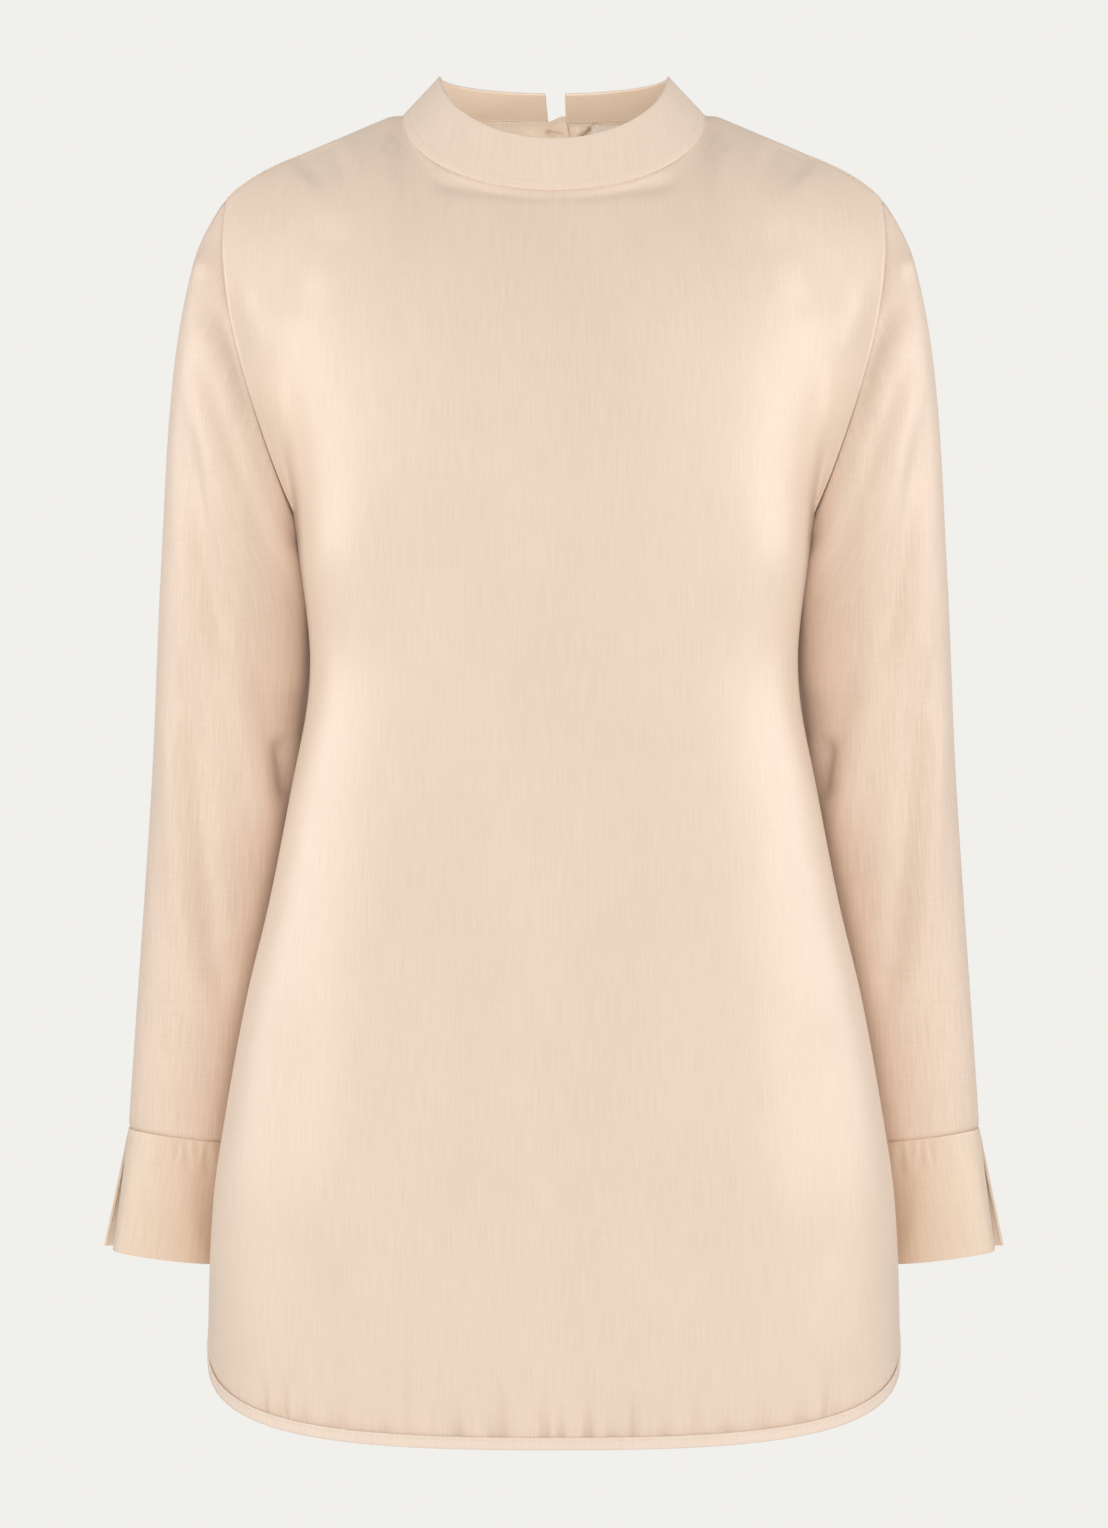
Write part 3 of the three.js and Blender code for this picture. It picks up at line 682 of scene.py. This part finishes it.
def seam_tuck(lengths):
    u, v = lengths
    to_side = np.minimum(u - u[:, :1], u[:, -1:] - u)
    sides = np.exp(-((to_side / SEAM_TUCK["width"]) ** 2)) * smooth(v / SEAM_TUCK["fade"])
    sides[: len(upper_rows)] = 0
    top = np.exp(-(((v[:1] - v) / SEAM_TUCK["width"]) ** 2))
    return SEAM_TUCK["depth"] * np.maximum(sides, top)


def share_seam_normals(front, back):
    below = len(upper_rows) - 1
    for edge in (0, -1):
        both = unit(front[below:, edge] + back[below:, edge])
        front[below:, edge], back[below:, edge] = both, both
    shoulder = np.abs(across_front) >= NECK_SHARE
    match = np.arange(len(across_front)) + (across_front >= 0)
    both = unit(front[0, shoulder] + back[0, match[shoulder]])
    front[0, shoulder], back[0, match[shoulder]] = both, both


# %% The front
PANEL_WALL = 0.6
panel_finishes = (body_satin, matte_reverse)
front_base = panel_base(across_front, "front")
back_base = panel_base(across_back, "back")
front_normals = grid_normals(front_base, 1)
back_normals = grid_normals(back_base, -1)
share_seam_normals(front_normals, back_normals)
front_lengths = thread_lengths(front_base, len(across_front) // 2)
front_relief = panel_relief(front_base, across_front, "front", FRONT_FOLDS, FRONT_SWELLS)
front_relief += seam_tuck(front_lengths)
front_grid = front_base - front_normals * front_relief[..., None]
front = sheet_of_cloth("tunic_front", front_grid, front_lengths, 1, PANEL_WALL, panel_finishes)

# %% [markdown]
# ## The back panel
# The back is cut like the front, with a slit at its centre below the collar's ends. The slit is a
# column of the grid left open for its first rows, with its two edges spread apart. Small creases
# gather beside its top, and one edge folds back on itself.

# %% The back, with its slit
SLIT_ROWS = 6
ROWS_TO_UNDERARM = 10
ROWS_TO_HEM = 14
SLIT = table(
    "row left right behind",
    (0, 7, 5, 3),
    (1, 10.4, 8, 3),
    (4, 3, 3.4, 0.8),
    (6, 1.2, 2.8, 0),
    (30, 1.2, 2.8, 0),
)
SLIT_LIFT = {"from": -4, "wide": 10, "deep": 14, "rise": 3.4}
SLIT_FOLDS = [
    (1.1, -8, (27, 5), (21, -1.4), (16, -6), (11.4, -12), (9, -20)),
    (2, 2.2, (16, 1), (13, -4), (11.4, -9)),
    (2.4, 2, (26, -2), (20, -8), (15, -15)),
    (1.1, -5, (-6, -2), (1, -4), (7.4, -5)),
    (2, 1.8, (-18, -2), (-7, -7), (4, -9.5)),
    (1.3, -2.4, (6.4, -8), (2, -12.5), (-5, -15.5)),
]
SLIT_EDGE_FOLD = [(1.2, -8, (4.6, 6), (7.4, -3.3), (10.8, -12), (12.4, -22))]
slit_column = len(half_across) - 1
below_underarm = ROWS_TO_UNDERARM + lower_rows[1:] * ROWS_TO_HEM
row_number = np.concatenate([upper_rows * ROWS_TO_UNDERARM, below_underarm])
on_left = np.arange(back_base.shape[1])[None] <= slit_column
reach_column = slit_column + 1 + int(np.argmin(np.abs(half_across - NECK_SHARE)))


def open_slit(grid):
    moved = grid.copy()
    centre = grid[:, slit_column, 0][:, None]
    reach = (grid[:, reach_column, 0] - grid[:, slit_column, 0])[:, None]
    away = np.clip(np.abs(grid[..., 0] - centre) / reach, 0, 1)
    left = read(SLIT, "left", row_number, "row")[:, None]
    right = read(SLIT, "right", row_number, "row")[:, None]
    moved[..., 0] += np.where(on_left, left, right) * (1 - away) ** 2
    behind = read(SLIT, "behind", row_number, "row")[:, None]
    moved[..., 1] += np.where(on_left, -behind / 2, behind / 2) * (1 - away) ** 6
    return moved


back_base = open_slit(back_base)
back_lengths = thread_lengths(back_base, slit_column)
from_top = back_lengths[1][:1] - back_lengths[1]
beside = smooth((back_base[..., 0] - SLIT_LIFT["from"]) / SLIT_LIFT["wide"])
fade_down = 1 - smooth(from_top / SLIT_LIFT["deep"])
back_base[..., 2] += SLIT_LIFT["rise"] * beside * on_left * fade_down
back_relief = panel_relief(back_base, across_back, "back", BACK_FOLDS, BACK_SWELLS)
back_relief += seam_tuck(back_lengths)
beside_slit = back_base[..., [0, 2]]
back_relief += pressed(beside_slit, SLIT_FOLDS) + pressed(beside_slit, SLIT_EDGE_FOLD) * ~on_left
back_grid = back_base - back_normals * back_relief[..., None]
slit_hole = np.zeros((len(back_grid) - 1, back_grid.shape[1] - 1), bool)
slit_hole[row_number[1:] <= SLIT_ROWS, slit_column] = True
back = sheet_of_cloth(
    "tunic_back", back_grid, back_lengths, -1, PANEL_WALL, panel_finishes, hole=slit_hole
)

# %% [markdown]
# ## The sleeves
# Each sleeve is one piece, closed under the arm. The cloth is fuller than the arm, so it breaks
# into long slanting folds from the shoulder to the inner elbow and down the forearm. Its first
# rows slip just under the panels' edges, so that the armhole seam shows no gap, and its head is
# filled out a little, as the shoulder's ease does in a real sleeve.

# %% Sleeves with their folds
SLEEVE_FRONT_FOLDS = [
    (6, -2.1, (210, -84), (204, -88), (197, -92)),
    (7, 2.7, (204, -102), (183, -143), (167, -184)),
    (8, 3.3, (212, -125), (198, -166), (180, -213), (157, -277)),
    (8, 4.8, (219, -155), (210, -222), (195, -305), (181, -342)),
    (9, -3.6, (192, -306), (177, -365), (167, -435)),
    (6, 5.4, (161, -360), (157, -380), (155, -404)),
    (8, 4.8, (215, -303), (206, -426), (199, -494), (186, -546)),
    (7, -2.2, (226, -330), (222, -430), (216, -520)),
]
SLEEVE_BACK_FOLDS = [
    (8, 2.8, (208, -110), (190, -160), (168, -220)),
    (9, 4.2, (216, -170), (200, -260), (176, -340)),
    (8, 4.8, (222, -330), (206, -380), (176, -400)),
    (9, -2.8, (200, -300), (186, -350), (176, -430)),
    (8, 3.6, (220, -420), (210, -490), (200, -560)),
]
SLEEVE_WALL = 0.6
UNDERLAP = 2
SLEEVE_CLEAR = 0.15
TUCK_REACH = 2.5
CAP = {"out": 4.3, "grow": 40, "from": -100, "ease": 170}
ARMPIT = {"top": -246, "foot": -330, "ease": 14, "spread": 0.5, "clear": 0.8}
FACE_BLEND = 0.5
SLEEVE_COLUMNS = 120
sleeve_turn = np.arange(SLEEVE_COLUMNS) / SLEEVE_COLUMNS * 2 * math.pi
head_rows = np.linspace(0, 1, 60)
arm_rows = np.linspace(0, 1, 90)


def sleeve_relief(grid, normals, side):
    places = np.stack([grid[..., 0] * side, grid[..., 2]], axis=-1)
    ahead = smooth(-normals[..., 1] / FACE_BLEND)
    behind = smooth(normals[..., 1] / FACE_BLEND)
    return pressed(places, SLEEVE_FRONT_FOLDS) * ahead + pressed(places, SLEEVE_BACK_FOLDS) * behind


def panel_edge_normals(turn, side):
    near = np.minimum(turn, 2 * math.pi - turn) / math.pi
    edge = 0 if side < 0 else -1

    def along(normals):
        rows = normals[: len(upper_rows), edge]
        return np.stack([np.interp(near, upper_rows, rows[:, k]) for k in range(3)], axis=-1)

    ahead = (turn <= math.pi)[:, None]
    return unit(np.where(ahead, along(front_normals), along(back_normals)))


def fill_cap(grid, turn, side):
    from_head = np.linalg.norm(grid - grid[:1], axis=-1)
    fade = 1 - smooth((CAP["from"] - grid[..., 2]) / CAP["ease"])
    outer = np.clip(np.cos(turn), 0, 1)[None]
    grid[..., 0] += side * CAP["out"] * smooth(from_head / CAP["grow"]) * fade * outer


def close_armpit(grid, turn, side):
    z = grid[..., 2]
    limit = read(BODY, "half", z) + ARMPIT["clear"]
    inner = np.exp(-(((turn - math.pi) / ARMPIT["spread"]) ** 2))[None]
    below = smooth((ARMPIT["top"] - z) / ARMPIT["ease"])
    above = 1 - smooth((ARMPIT["foot"] - z) / ARMPIT["ease"])
    x = grid[..., 0] * side
    closer = np.minimum(x, mix(x, limit, inner * below * above))
    grid[..., 0] = side * closer


sleeves, sleeve_grids = {}, {}
for name, side in {"right": -1, "left": 1}.items():
    base = sleeve_grid(sleeve_turn, head_rows, arm_rows, side)
    raise_shoulder(base)
    fill_cap(base, sleeve_turn, side)
    close_armpit(base, sleeve_turn, side)
    normals = grid_normals(base, -side, wrap=True)
    lengths = thread_lengths(base)
    near_top = np.exp(-(((lengths[1][:1] - lengths[1]) / TUCK_REACH) ** 2))
    tuck = SEAM_TUCK["depth"] * np.exp(-((lengths[1] / SEAM_TUCK["width"]) ** 2))
    relief = sleeve_relief(base, normals, side) * (1 - near_top) + tuck
    grid = base - normals * relief[..., None]
    under = panel_edge_normals(sleeve_turn, side) * (PANEL_WALL + SLEEVE_CLEAR)
    grid -= under[None] * near_top[..., None]
    grid[0] += unit(grid[0] - grid[1]) * UNDERLAP
    grid[-1] += unit(grid[-1] - grid[-2]) * UNDERLAP
    sleeve_grids[name] = grid
    sleeves[name] = sheet_of_cloth(
        f"tunic_sleeve_{name}", grid, lengths, -side, SLEEVE_WALL, (sleeve_satin_painted_shade, matte_reverse), wrap=True
    )

# %% [markdown]
# ## The cuffs
# The cuffs are doubled and firm, flare towards the hand, and are split at the outer edge. The
# slit's two edges part towards the hand: one is drawn in and the other turns out behind it.

# %% Cuffs
CUFF_WALL = 1.6
CUFF_HOLD = 3
SLIT_REACH = {"part": 0.5, "draw": 0.9, "turn": 0.34}
CUFF_FOLDS = [
    (2, 1.1, (223, -598), (222, -605), (221, -613)),
    (2, 1.3, (217, -598), (216, -607), (214, -619)),
    (2, 1.1, (211, -599), (210, -606), (209, -613)),
    (2.2, 1.3, (205, -600), (204, -610), (202, -624)),
    (8, 2, (207, -604), (204, -640), (203, -672)),
]
cuffs = {}
cuff_turn = np.linspace(0, 2 * math.pi, 161)
cuff_rows = np.linspace(0, 1, 26)
for name, side in {"right": -1, "left": 1}.items():
    t = cuff_rows[:, None]
    grid = cuff_point(t, cuff_turn[None], side)
    end = np.minimum(cuff_turn, 2 * math.pi - cuff_turn)[None]
    gap = mix(CUFF_SLIT["top"], CUFF_SLIT["foot"], t) / 2
    near = 1 - smooth(end / SLIT_REACH["part"])
    grid[..., 1] += np.where(cuff_turn[None] < math.pi, -gap, gap) * near
    drawn_in = (1 - smooth(end / SLIT_REACH["draw"])) * t
    turned_out = (cuff_turn[None] > math.pi) * (1 - smooth(end / SLIT_REACH["turn"])) * t
    grid[..., 0] -= side * CUFF_SLIT["step"] * (drawn_in - turned_out)
    grid[..., 1] += CUFF_SLIT["back"] * turned_out
    normals = grid_normals(grid, -side)
    lengths = thread_lengths(grid)
    places = np.stack([grid[..., 0] * side, grid[..., 2]], axis=-1)
    ahead = smooth(-normals[..., 1] / FACE_BLEND) * smooth(lengths[1] / CUFF_HOLD)
    grid -= normals * (pressed(places, CUFF_FOLDS) * ahead)[..., None]
    cuffs[name] = sheet_of_cloth(
        f"tunic_cuff_{name}", grid, lengths, -side, CUFF_WALL, (cuff_satin,), bevel=0.5
    )

# %% [markdown]
# ## The collar
# The stand collar is a doubled band, firm enough to stand, that leans in towards the neck. It
# runs from one side of the gap at the centre back, round the front, to the other.

# %% Collar
COLLAR_WALL = 1.8
COLLAR_LIFT = 0.4
COLLAR_OVERLAP = 1
COLLAR_GAP_REACH = 0.8
collar_turn = np.linspace(math.pi, -math.pi, 221)
collar_rows = np.linspace(0, 1, 16)
side_of = np.where(collar_turn > 0, -1, 1)
foot = neck_point(np.abs(collar_turn), side_of)
top = collar_top_point(np.abs(collar_turn), side_of)
t = collar_rows[:, None, None]
collar_base = mix(foot[None], top[None], t)
left_edge = mix(-COLLAR_GAP["leftFoot"], -COLLAR_GAP["left"], collar_rows)
right_edge = mix(COLLAR_GAP["rightFoot"], COLLAR_GAP["right"], collar_rows)
near_gap = np.clip(1 - (math.pi - np.abs(collar_turn)) / COLLAR_GAP_REACH, 0, 1)[None] ** 2
collar_base[..., 0] += np.where(collar_turn > 0, left_edge[:, None], right_edge[:, None]) * near_gap
collar_normals = grid_normals(collar_base, -1)
collar_base += collar_normals * COLLAR_LIFT
collar_base[0] += unit(collar_base[0] - collar_base[1]) * COLLAR_OVERLAP
collar_lengths = thread_lengths(collar_base, len(collar_turn) // 2)
collar_finishes = (collar_satin, collar_inside)
collar = sheet_of_cloth(
    "tunic_collar", collar_base, collar_lengths, -1, COLLAR_WALL, collar_finishes, bevel=0.6
)

# %% [markdown]
# ## The hem bands
# A narrow band of the same cloth is sewn on the outside of the hem, its upper edge folded under.

# %% Hem bands
BAND_WIDTH = 7
BAND_LIFT = 0.3
BAND_EASE = 0.2
BAND_WALL = 0.8
BAND_RIM = {"reach": 0.18, "height": 0.5}
NUDGE = 0.001
bands = {}
band_grids = {}
for face, across in {"front": across_front, "back": across_back}.items():
    inner = np.minimum(np.abs(across), 1 - NUDGE)
    step = body_point(inner + NUDGE, HEM["z"], face) - body_point(inner, HEM["z"], face)
    slope = (hem_rise(inner + NUDGE) - hem_rise(inner)) / np.linalg.norm(step, axis=-1)
    rows = np.linspace(1, 0, 9)[:, None]
    height = rows * BAND_WIDTH * np.hypot(1, slope)
    grid = body_point(across[None], HEM["z"] + hem_rise(across) + height, face)
    outward = 1 if face == "front" else -1
    normals = grid_normals(grid, outward)
    rim = np.exp(-(((1 - rows) / BAND_RIM["reach"]) ** 2)) * BAND_RIM["height"]
    ease = smooth((1 - np.abs(across)) / BAND_EASE)[None]
    grid = grid + normals * (BAND_LIFT + (BAND_WALL + rim) * ease)[..., None]
    band_grids[face] = (grid, normals)
    lengths = thread_lengths(grid, len(across) // 2)
    bands[face] = sheet_of_cloth(
        f"tunic_hem_band_{face}", grid, lengths, outward, BAND_WALL, (band_satin,)
    )

# %% [markdown]
# ## The label
# A small tape label is sewn inside the back neck. It is blank. It lies on the inside of the back,
# so its points are the back's own points, moved inwards by the wall and a little more.

# %% Label
LABEL = {"columns": (0.5, 2.5), "rows": (0.1, 0.85), "slant": 0.52, "clear": 0.7}
LABEL_WALL = 0.5
COLUMN_SHARE = NECK_SHARE / 5


def on_back(row, column):
    i, j = np.floor(row).astype(int), np.floor(column).astype(int)
    a, b = (row - i)[..., None], (column - j)[..., None]

    def blend(values):
        upper = mix(values[i, j], values[i, j + 1], b)
        lower = mix(values[i + 1, j], values[i + 1, j + 1], b)
        return mix(upper, lower, a)

    inside = unit(blend(back_normals))
    return blend(back_grid) - inside * (PANEL_WALL + LABEL["clear"])


label_rows = np.linspace(*LABEL["rows"], 9)[:, None]
share = np.linspace(0, 1, 25)[None]
label_columns = mix(LABEL["columns"][0] + LABEL["slant"] * label_rows, LABEL["columns"][1], share)
label_places = np.interp(label_columns * COLUMN_SHARE, half_across, np.arange(len(half_across)))
label_heights = np.interp(label_rows / ROWS_TO_UNDERARM, upper_rows, np.arange(len(upper_rows)))
label_grid = on_back(label_heights + 0 * share, slit_column + 1 + label_places)
label = sheet_of_cloth(
    "tunic_label", label_grid, thread_lengths(label_grid), -1, LABEL_WALL, (label_tape,), bevel=0.1
)

# %% [markdown]
# ## Stitches
# A row of machine stitches is the same short thread again and again along a seam, which is just
# what Geometry Nodes are for. The tree takes a path, marks it off at the stitch pitch, puts one
# rounded stitch at each mark, turned along the path, and ends in real, sewn-down geometry.

# %% The sewing thread
# Spun polyester is softly shiny, and its twist breaks the light into short flecks about 1 mm long, drawn
# here as painted glints in the colour.
def polyester_thread():
    material = bpy.data.materials.new("polyester sewing thread")
    material.use_nodes = True
    tree = material.node_tree
    shader = tree.nodes["Principled BSDF"]
    place = add_node(tree, "ShaderNodeTexCoord")
    painted_glints = add_node(tree, "ShaderNodeTexNoise", {"Scale": 900, "Detail": 1}, Vector=place.outputs["Object"])
    # The noise lifts the thread's tone to its lighter end in short flecks: painted glints.
    ramp = add_node(tree, "ShaderNodeValToRGB", {}, Fac=painted_glints.outputs[0])
    ramp.color_ramp.elements[0].color = linear("#E0CBB5")
    ramp.color_ramp.elements[1].color = linear("#F6EADB")
    tree.links.new(ramp.outputs["Color"], shader.inputs["Base Color"])
    shader.inputs["Roughness"].default_value = 0.45
    return material


thread = polyester_thread()


# %% A Geometry Nodes tree that sews
def sewing_tree():
    tree = bpy.data.node_groups.new("row of stitches", "GeometryNodeTree")
    sockets = tree.interface
    sockets.new_socket("Path", in_out="INPUT", socket_type="NodeSocketGeometry")
    for name in ("Pitch", "Stitch length", "Thread thickness"):
        sockets.new_socket(name, in_out="INPUT", socket_type="NodeSocketFloat")
    sockets.new_socket("Thread", in_out="INPUT", socket_type="NodeSocketMaterial")
    sockets.new_socket("Stitches", in_out="OUTPUT", socket_type="NodeSocketGeometry")
    given = add_node(tree, "NodeGroupInput").outputs
    line = add_node(tree, "GeometryNodeMeshToCurve", {}, Mesh=given["Path"])
    marks = add_node(
        tree,
        "GeometryNodeResampleCurve",
        {"mode": "LENGTH"},
        Curve=line.outputs["Curve"],
        Length=given["Pitch"],
    )
    way = add_node(tree, "GeometryNodeInputTangent")
    turned = add_node(
        tree, "FunctionNodeAlignRotationToVector", {"axis": "X"}, Vector=way.outputs["Tangent"]
    )
    stitch = add_node(tree, "GeometryNodeMeshUVSphere", {"Segments": 7, "Rings": 5, "Radius": 0.5})
    size = add_node(
        tree,
        "ShaderNodeCombineXYZ",
        {},
        X=given["Stitch length"],
        Y=given["Thread thickness"],
        Z=given["Thread thickness"],
    )
    laid = add_node(
        tree,
        "GeometryNodeInstanceOnPoints",
        {},
        Points=marks.outputs["Curve"],
        Instance=stitch.outputs["Mesh"],
        Rotation=turned.outputs["Rotation"],
        Scale=size.outputs["Vector"],
    )
    real = add_node(tree, "GeometryNodeRealizeInstances", {}, Geometry=laid.outputs["Instances"])
    finished = add_node(
        tree, "GeometryNodeSetMaterial", {}, Geometry=real.outputs["Geometry"], Material=given["Thread"]
    )
    add_node(tree, "NodeGroupOutput", {}, Stitches=finished.outputs["Geometry"])
    return tree


sewing = sewing_tree()


def sew(name, path, pitch=2.6, length=2, thickness=0.5):
    mesh = bpy.data.meshes.new(name)
    mesh.from_pydata((path * MM).tolist(), [(i, i + 1) for i in range(len(path) - 1)], [])
    piece = bpy.data.objects.new(name, mesh)
    bpy.context.scene.collection.objects.link(piece)
    values = {
        "Pitch": pitch * MM,
        "Stitch length": length * MM,
        "Thread thickness": thickness * MM,
        "Thread": thread,
    }
    modifier = piece.modifiers.new("sewing", "NODES")
    modifier.node_group = sewing
    for socket in sewing.interface.items_tree:
        if socket.name in values:
            modifier[socket.identifier] = values[socket.name]
    plain_mesh(piece)
    smooth_faces(piece.data)
    print(f"{name}: {len(piece.data.polygons)} faces")
    return piece


# %% Sew the collar and the hem bands
THREAD_LIFT = 0.05
edge_row = collar_base[2] + collar_normals[2] * THREAD_LIFT
inside_row = collar_base[1] - collar_normals[1] * (COLLAR_WALL + THREAD_LIFT)
behind = np.abs(collar_turn) > QUARTER
stitches = {
    "collar_edge": sew("stitches_collar_edge", edge_row[1:-1]),
    "collar_inside_right": sew("stitches_collar_inside_right", inside_row[behind & (collar_turn > 0)][1:]),
    "collar_inside_left": sew("stitches_collar_inside_left", inside_row[behind & (collar_turn < 0)][:-1]),
}
for face, (grid, normals) in band_grids.items():
    path = grid[2] + normals[2] * THREAD_LIFT
    stitches[f"hem_{face}"] = sew(f"stitches_hem_{face}", path[3:-3])

# %% [markdown]
# ## Who rides on what
# Every piece rides on the part's one body and stands in for its plain solid. Each row gives the
# piece, its finish, the box that its flat cut fits in, in metres, and the cut's area where it
# doesn't fill that box.

# %% Ride and replace
pieces = {
    "front_panel": (front, "satin_cloth", (0.56, 0.8), 0.33),
    "back_panel": (back, "satin_cloth", (0.55, 0.8), 0.325),
    "collar": (collar, "collar_cloth", (0.45, 0.04), None),
    "sleeve_right": (sleeves["right"], "sleeve_cloth", (0.34, 0.56), 0.12),
    "sleeve_left": (sleeves["left"], "sleeve_cloth", (0.34, 0.56), 0.12),
    "cuff_right": (cuffs["right"], "cuff_cloth", (0.24, 0.071), None),
    "cuff_left": (cuffs["left"], "cuff_cloth", (0.24, 0.071), None),
    "hem_band_front": (bands["front"], "hem_cloth", (0.55, 0.01), 0.0039),
    "hem_band_back": (bands["back"], "hem_cloth", (0.55, 0.01), 0.0039),
    "label": (label, "label_cloth", (0.042, 0.014), None),
}
for node, (piece, slot, flat, area) in pieces.items():
    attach(piece, "root")
    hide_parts(node)
for name, piece in stitches.items():
    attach(piece, "root")

# %% [markdown]
# ## Camera
# The camera looks straight at the front from far off, with a long lens, so that the garment's
# width isn't exaggerated.

# %% Camera
CAMERA = {"distance": 3.6, "height": -0.379, "lens": 145.2, "sensor": 36}
camera = bpy.data.objects.new("camera", bpy.data.cameras.new("camera"))
bpy.context.scene.collection.objects.link(camera)
camera.location = (0, -CAMERA["distance"], CAMERA["height"])
camera.rotation_euler = (math.radians(90), 0, 0)
camera.data.lens = CAMERA["lens"]
camera.data.sensor_width = CAMERA["sensor"]
bpy.context.scene.camera = camera

# %% [markdown]
# ## The room
# The pale room is seen at full strength but lights the cloth at about half, through the Light Path
# node, so that the lamps can model the folds. Satin shows its folds by its shine and hides them in
# flat light.

# %% The room
WORLD_COLOUR = "#F1F0EC"
ROOM_LIGHT = 0.56
world = bpy.data.worlds.new("plain studio")
world.use_nodes = True
sky = world.node_tree.nodes["Background"]
sky.inputs["Color"].default_value = linear(WORLD_COLOUR)
seen = add_node(world.node_tree, "ShaderNodeLightPath")
room = add_node(
    world.node_tree,
    "ShaderNodeMapRange",
    {"To Min": ROOM_LIGHT, "To Max": 1},
    Value=seen.outputs["Is Camera Ray"],
)
world.node_tree.links.new(room.outputs["Result"], sky.inputs["Strength"])
bpy.context.scene.world = world
bpy.context.scene.view_settings.view_transform = "Standard"

# %% [markdown]
# ## The lamps
# The softboxes and the two fills give only diffuse light. Two pairs of lamps well to the side give
# only the shine along the flanks. A tiny reflector inside the neck rakes over the creases there.

# %% The lamps
SHEEN_LIGHTS = {"strip": (106, 1.6, (0.4, 0.9), 4.6), "sheet": (82, 1.6, (0.6, 1.1), 5)}
SIDE_BOX = {"azimuth": 76, "distance": 1.5, "size": (0.6, 1.2), "power": 7}
FILL_BOX = {"height": -0.2, "distance": 4.4, "size": (2.6, 2.6)}
FILLS = {"front fill": (0, 92), "back fill": (180, 80)}
REFLECTOR = {"place": (-0.03, -0.04, -0.045), "tip": 112, "turn": -20, "size": (0.08, 0.05), "power": 0.07}


def softbox(name, azimuth, height, distance, size, power):
    light = bpy.data.lights.new(name, "AREA")
    light.shape = "RECTANGLE"
    light.size, light.size_y = size
    light.energy = power
    lamp = bpy.data.objects.new(name, light)
    bpy.context.scene.collection.objects.link(lamp)
    angle = math.radians(azimuth)
    lamp.location = (distance * math.sin(angle), -distance * math.cos(angle), height)
    tilt = math.atan2(CAMERA["height"] - height, distance)
    lamp.rotation_euler = (math.radians(90) + tilt, 0, angle)
    return lamp


for side, turn in {"left": -1, "right": 1}.items():
    for name, (azimuth, distance, size, power) in SHEEN_LIGHTS.items():
        sheen = softbox(f"{side} {name}", turn * azimuth, 0, distance, size, power)
        sheen.visible_diffuse = False
    azimuth, distance, size, power = (SIDE_BOX[k] for k in ("azimuth", "distance", "size", "power"))
    box = softbox(f"{side} softbox", turn * azimuth, 0, distance, size, power)
    box.visible_glossy = False
hidden = [softbox("reflector in the neck", 0, 0, 1, REFLECTOR["size"], REFLECTOR["power"])]
hidden[0].location = REFLECTOR["place"]
hidden[0].rotation_euler = (math.radians(REFLECTOR["tip"]), 0, math.radians(REFLECTOR["turn"]))
for name, (azimuth, power) in FILLS.items():
    height, distance, size = (FILL_BOX[k] for k in ("height", "distance", "size"))
    hidden.append(softbox(name, azimuth, height, distance, size, power))
for lamp in hidden:
    lamp.visible_camera = False
    lamp.visible_glossy = False

# %% [markdown]
# ## The floor
# A wide disc of matte paper below the garment, which hangs in the air as it is worn.

# %% The floor
FLOOR = {"height": -1.42, "radius": 2.3, "sides": 96}
floor_mesh = bpy.data.meshes.new("floor")
ring = np.linspace(0, 2 * math.pi, FLOOR["sides"], endpoint=False)
edge = [(FLOOR["radius"] * math.cos(a), FLOOR["radius"] * math.sin(a), FLOOR["height"]) for a in ring]
floor_mesh.from_pydata(edge, [], [list(range(len(edge)))])
floor = bpy.data.objects.new("floor", floor_mesh)
bpy.context.scene.collection.objects.link(floor)
paper = bpy.data.materials.new("matte paper floor")
paper.use_nodes = True
matte = paper.node_tree.nodes["Principled BSDF"]
matte.inputs["Base Color"].default_value = linear("#F4F3F0")
matte.inputs["Roughness"].default_value = 0.9
floor_mesh.materials.append(paper)
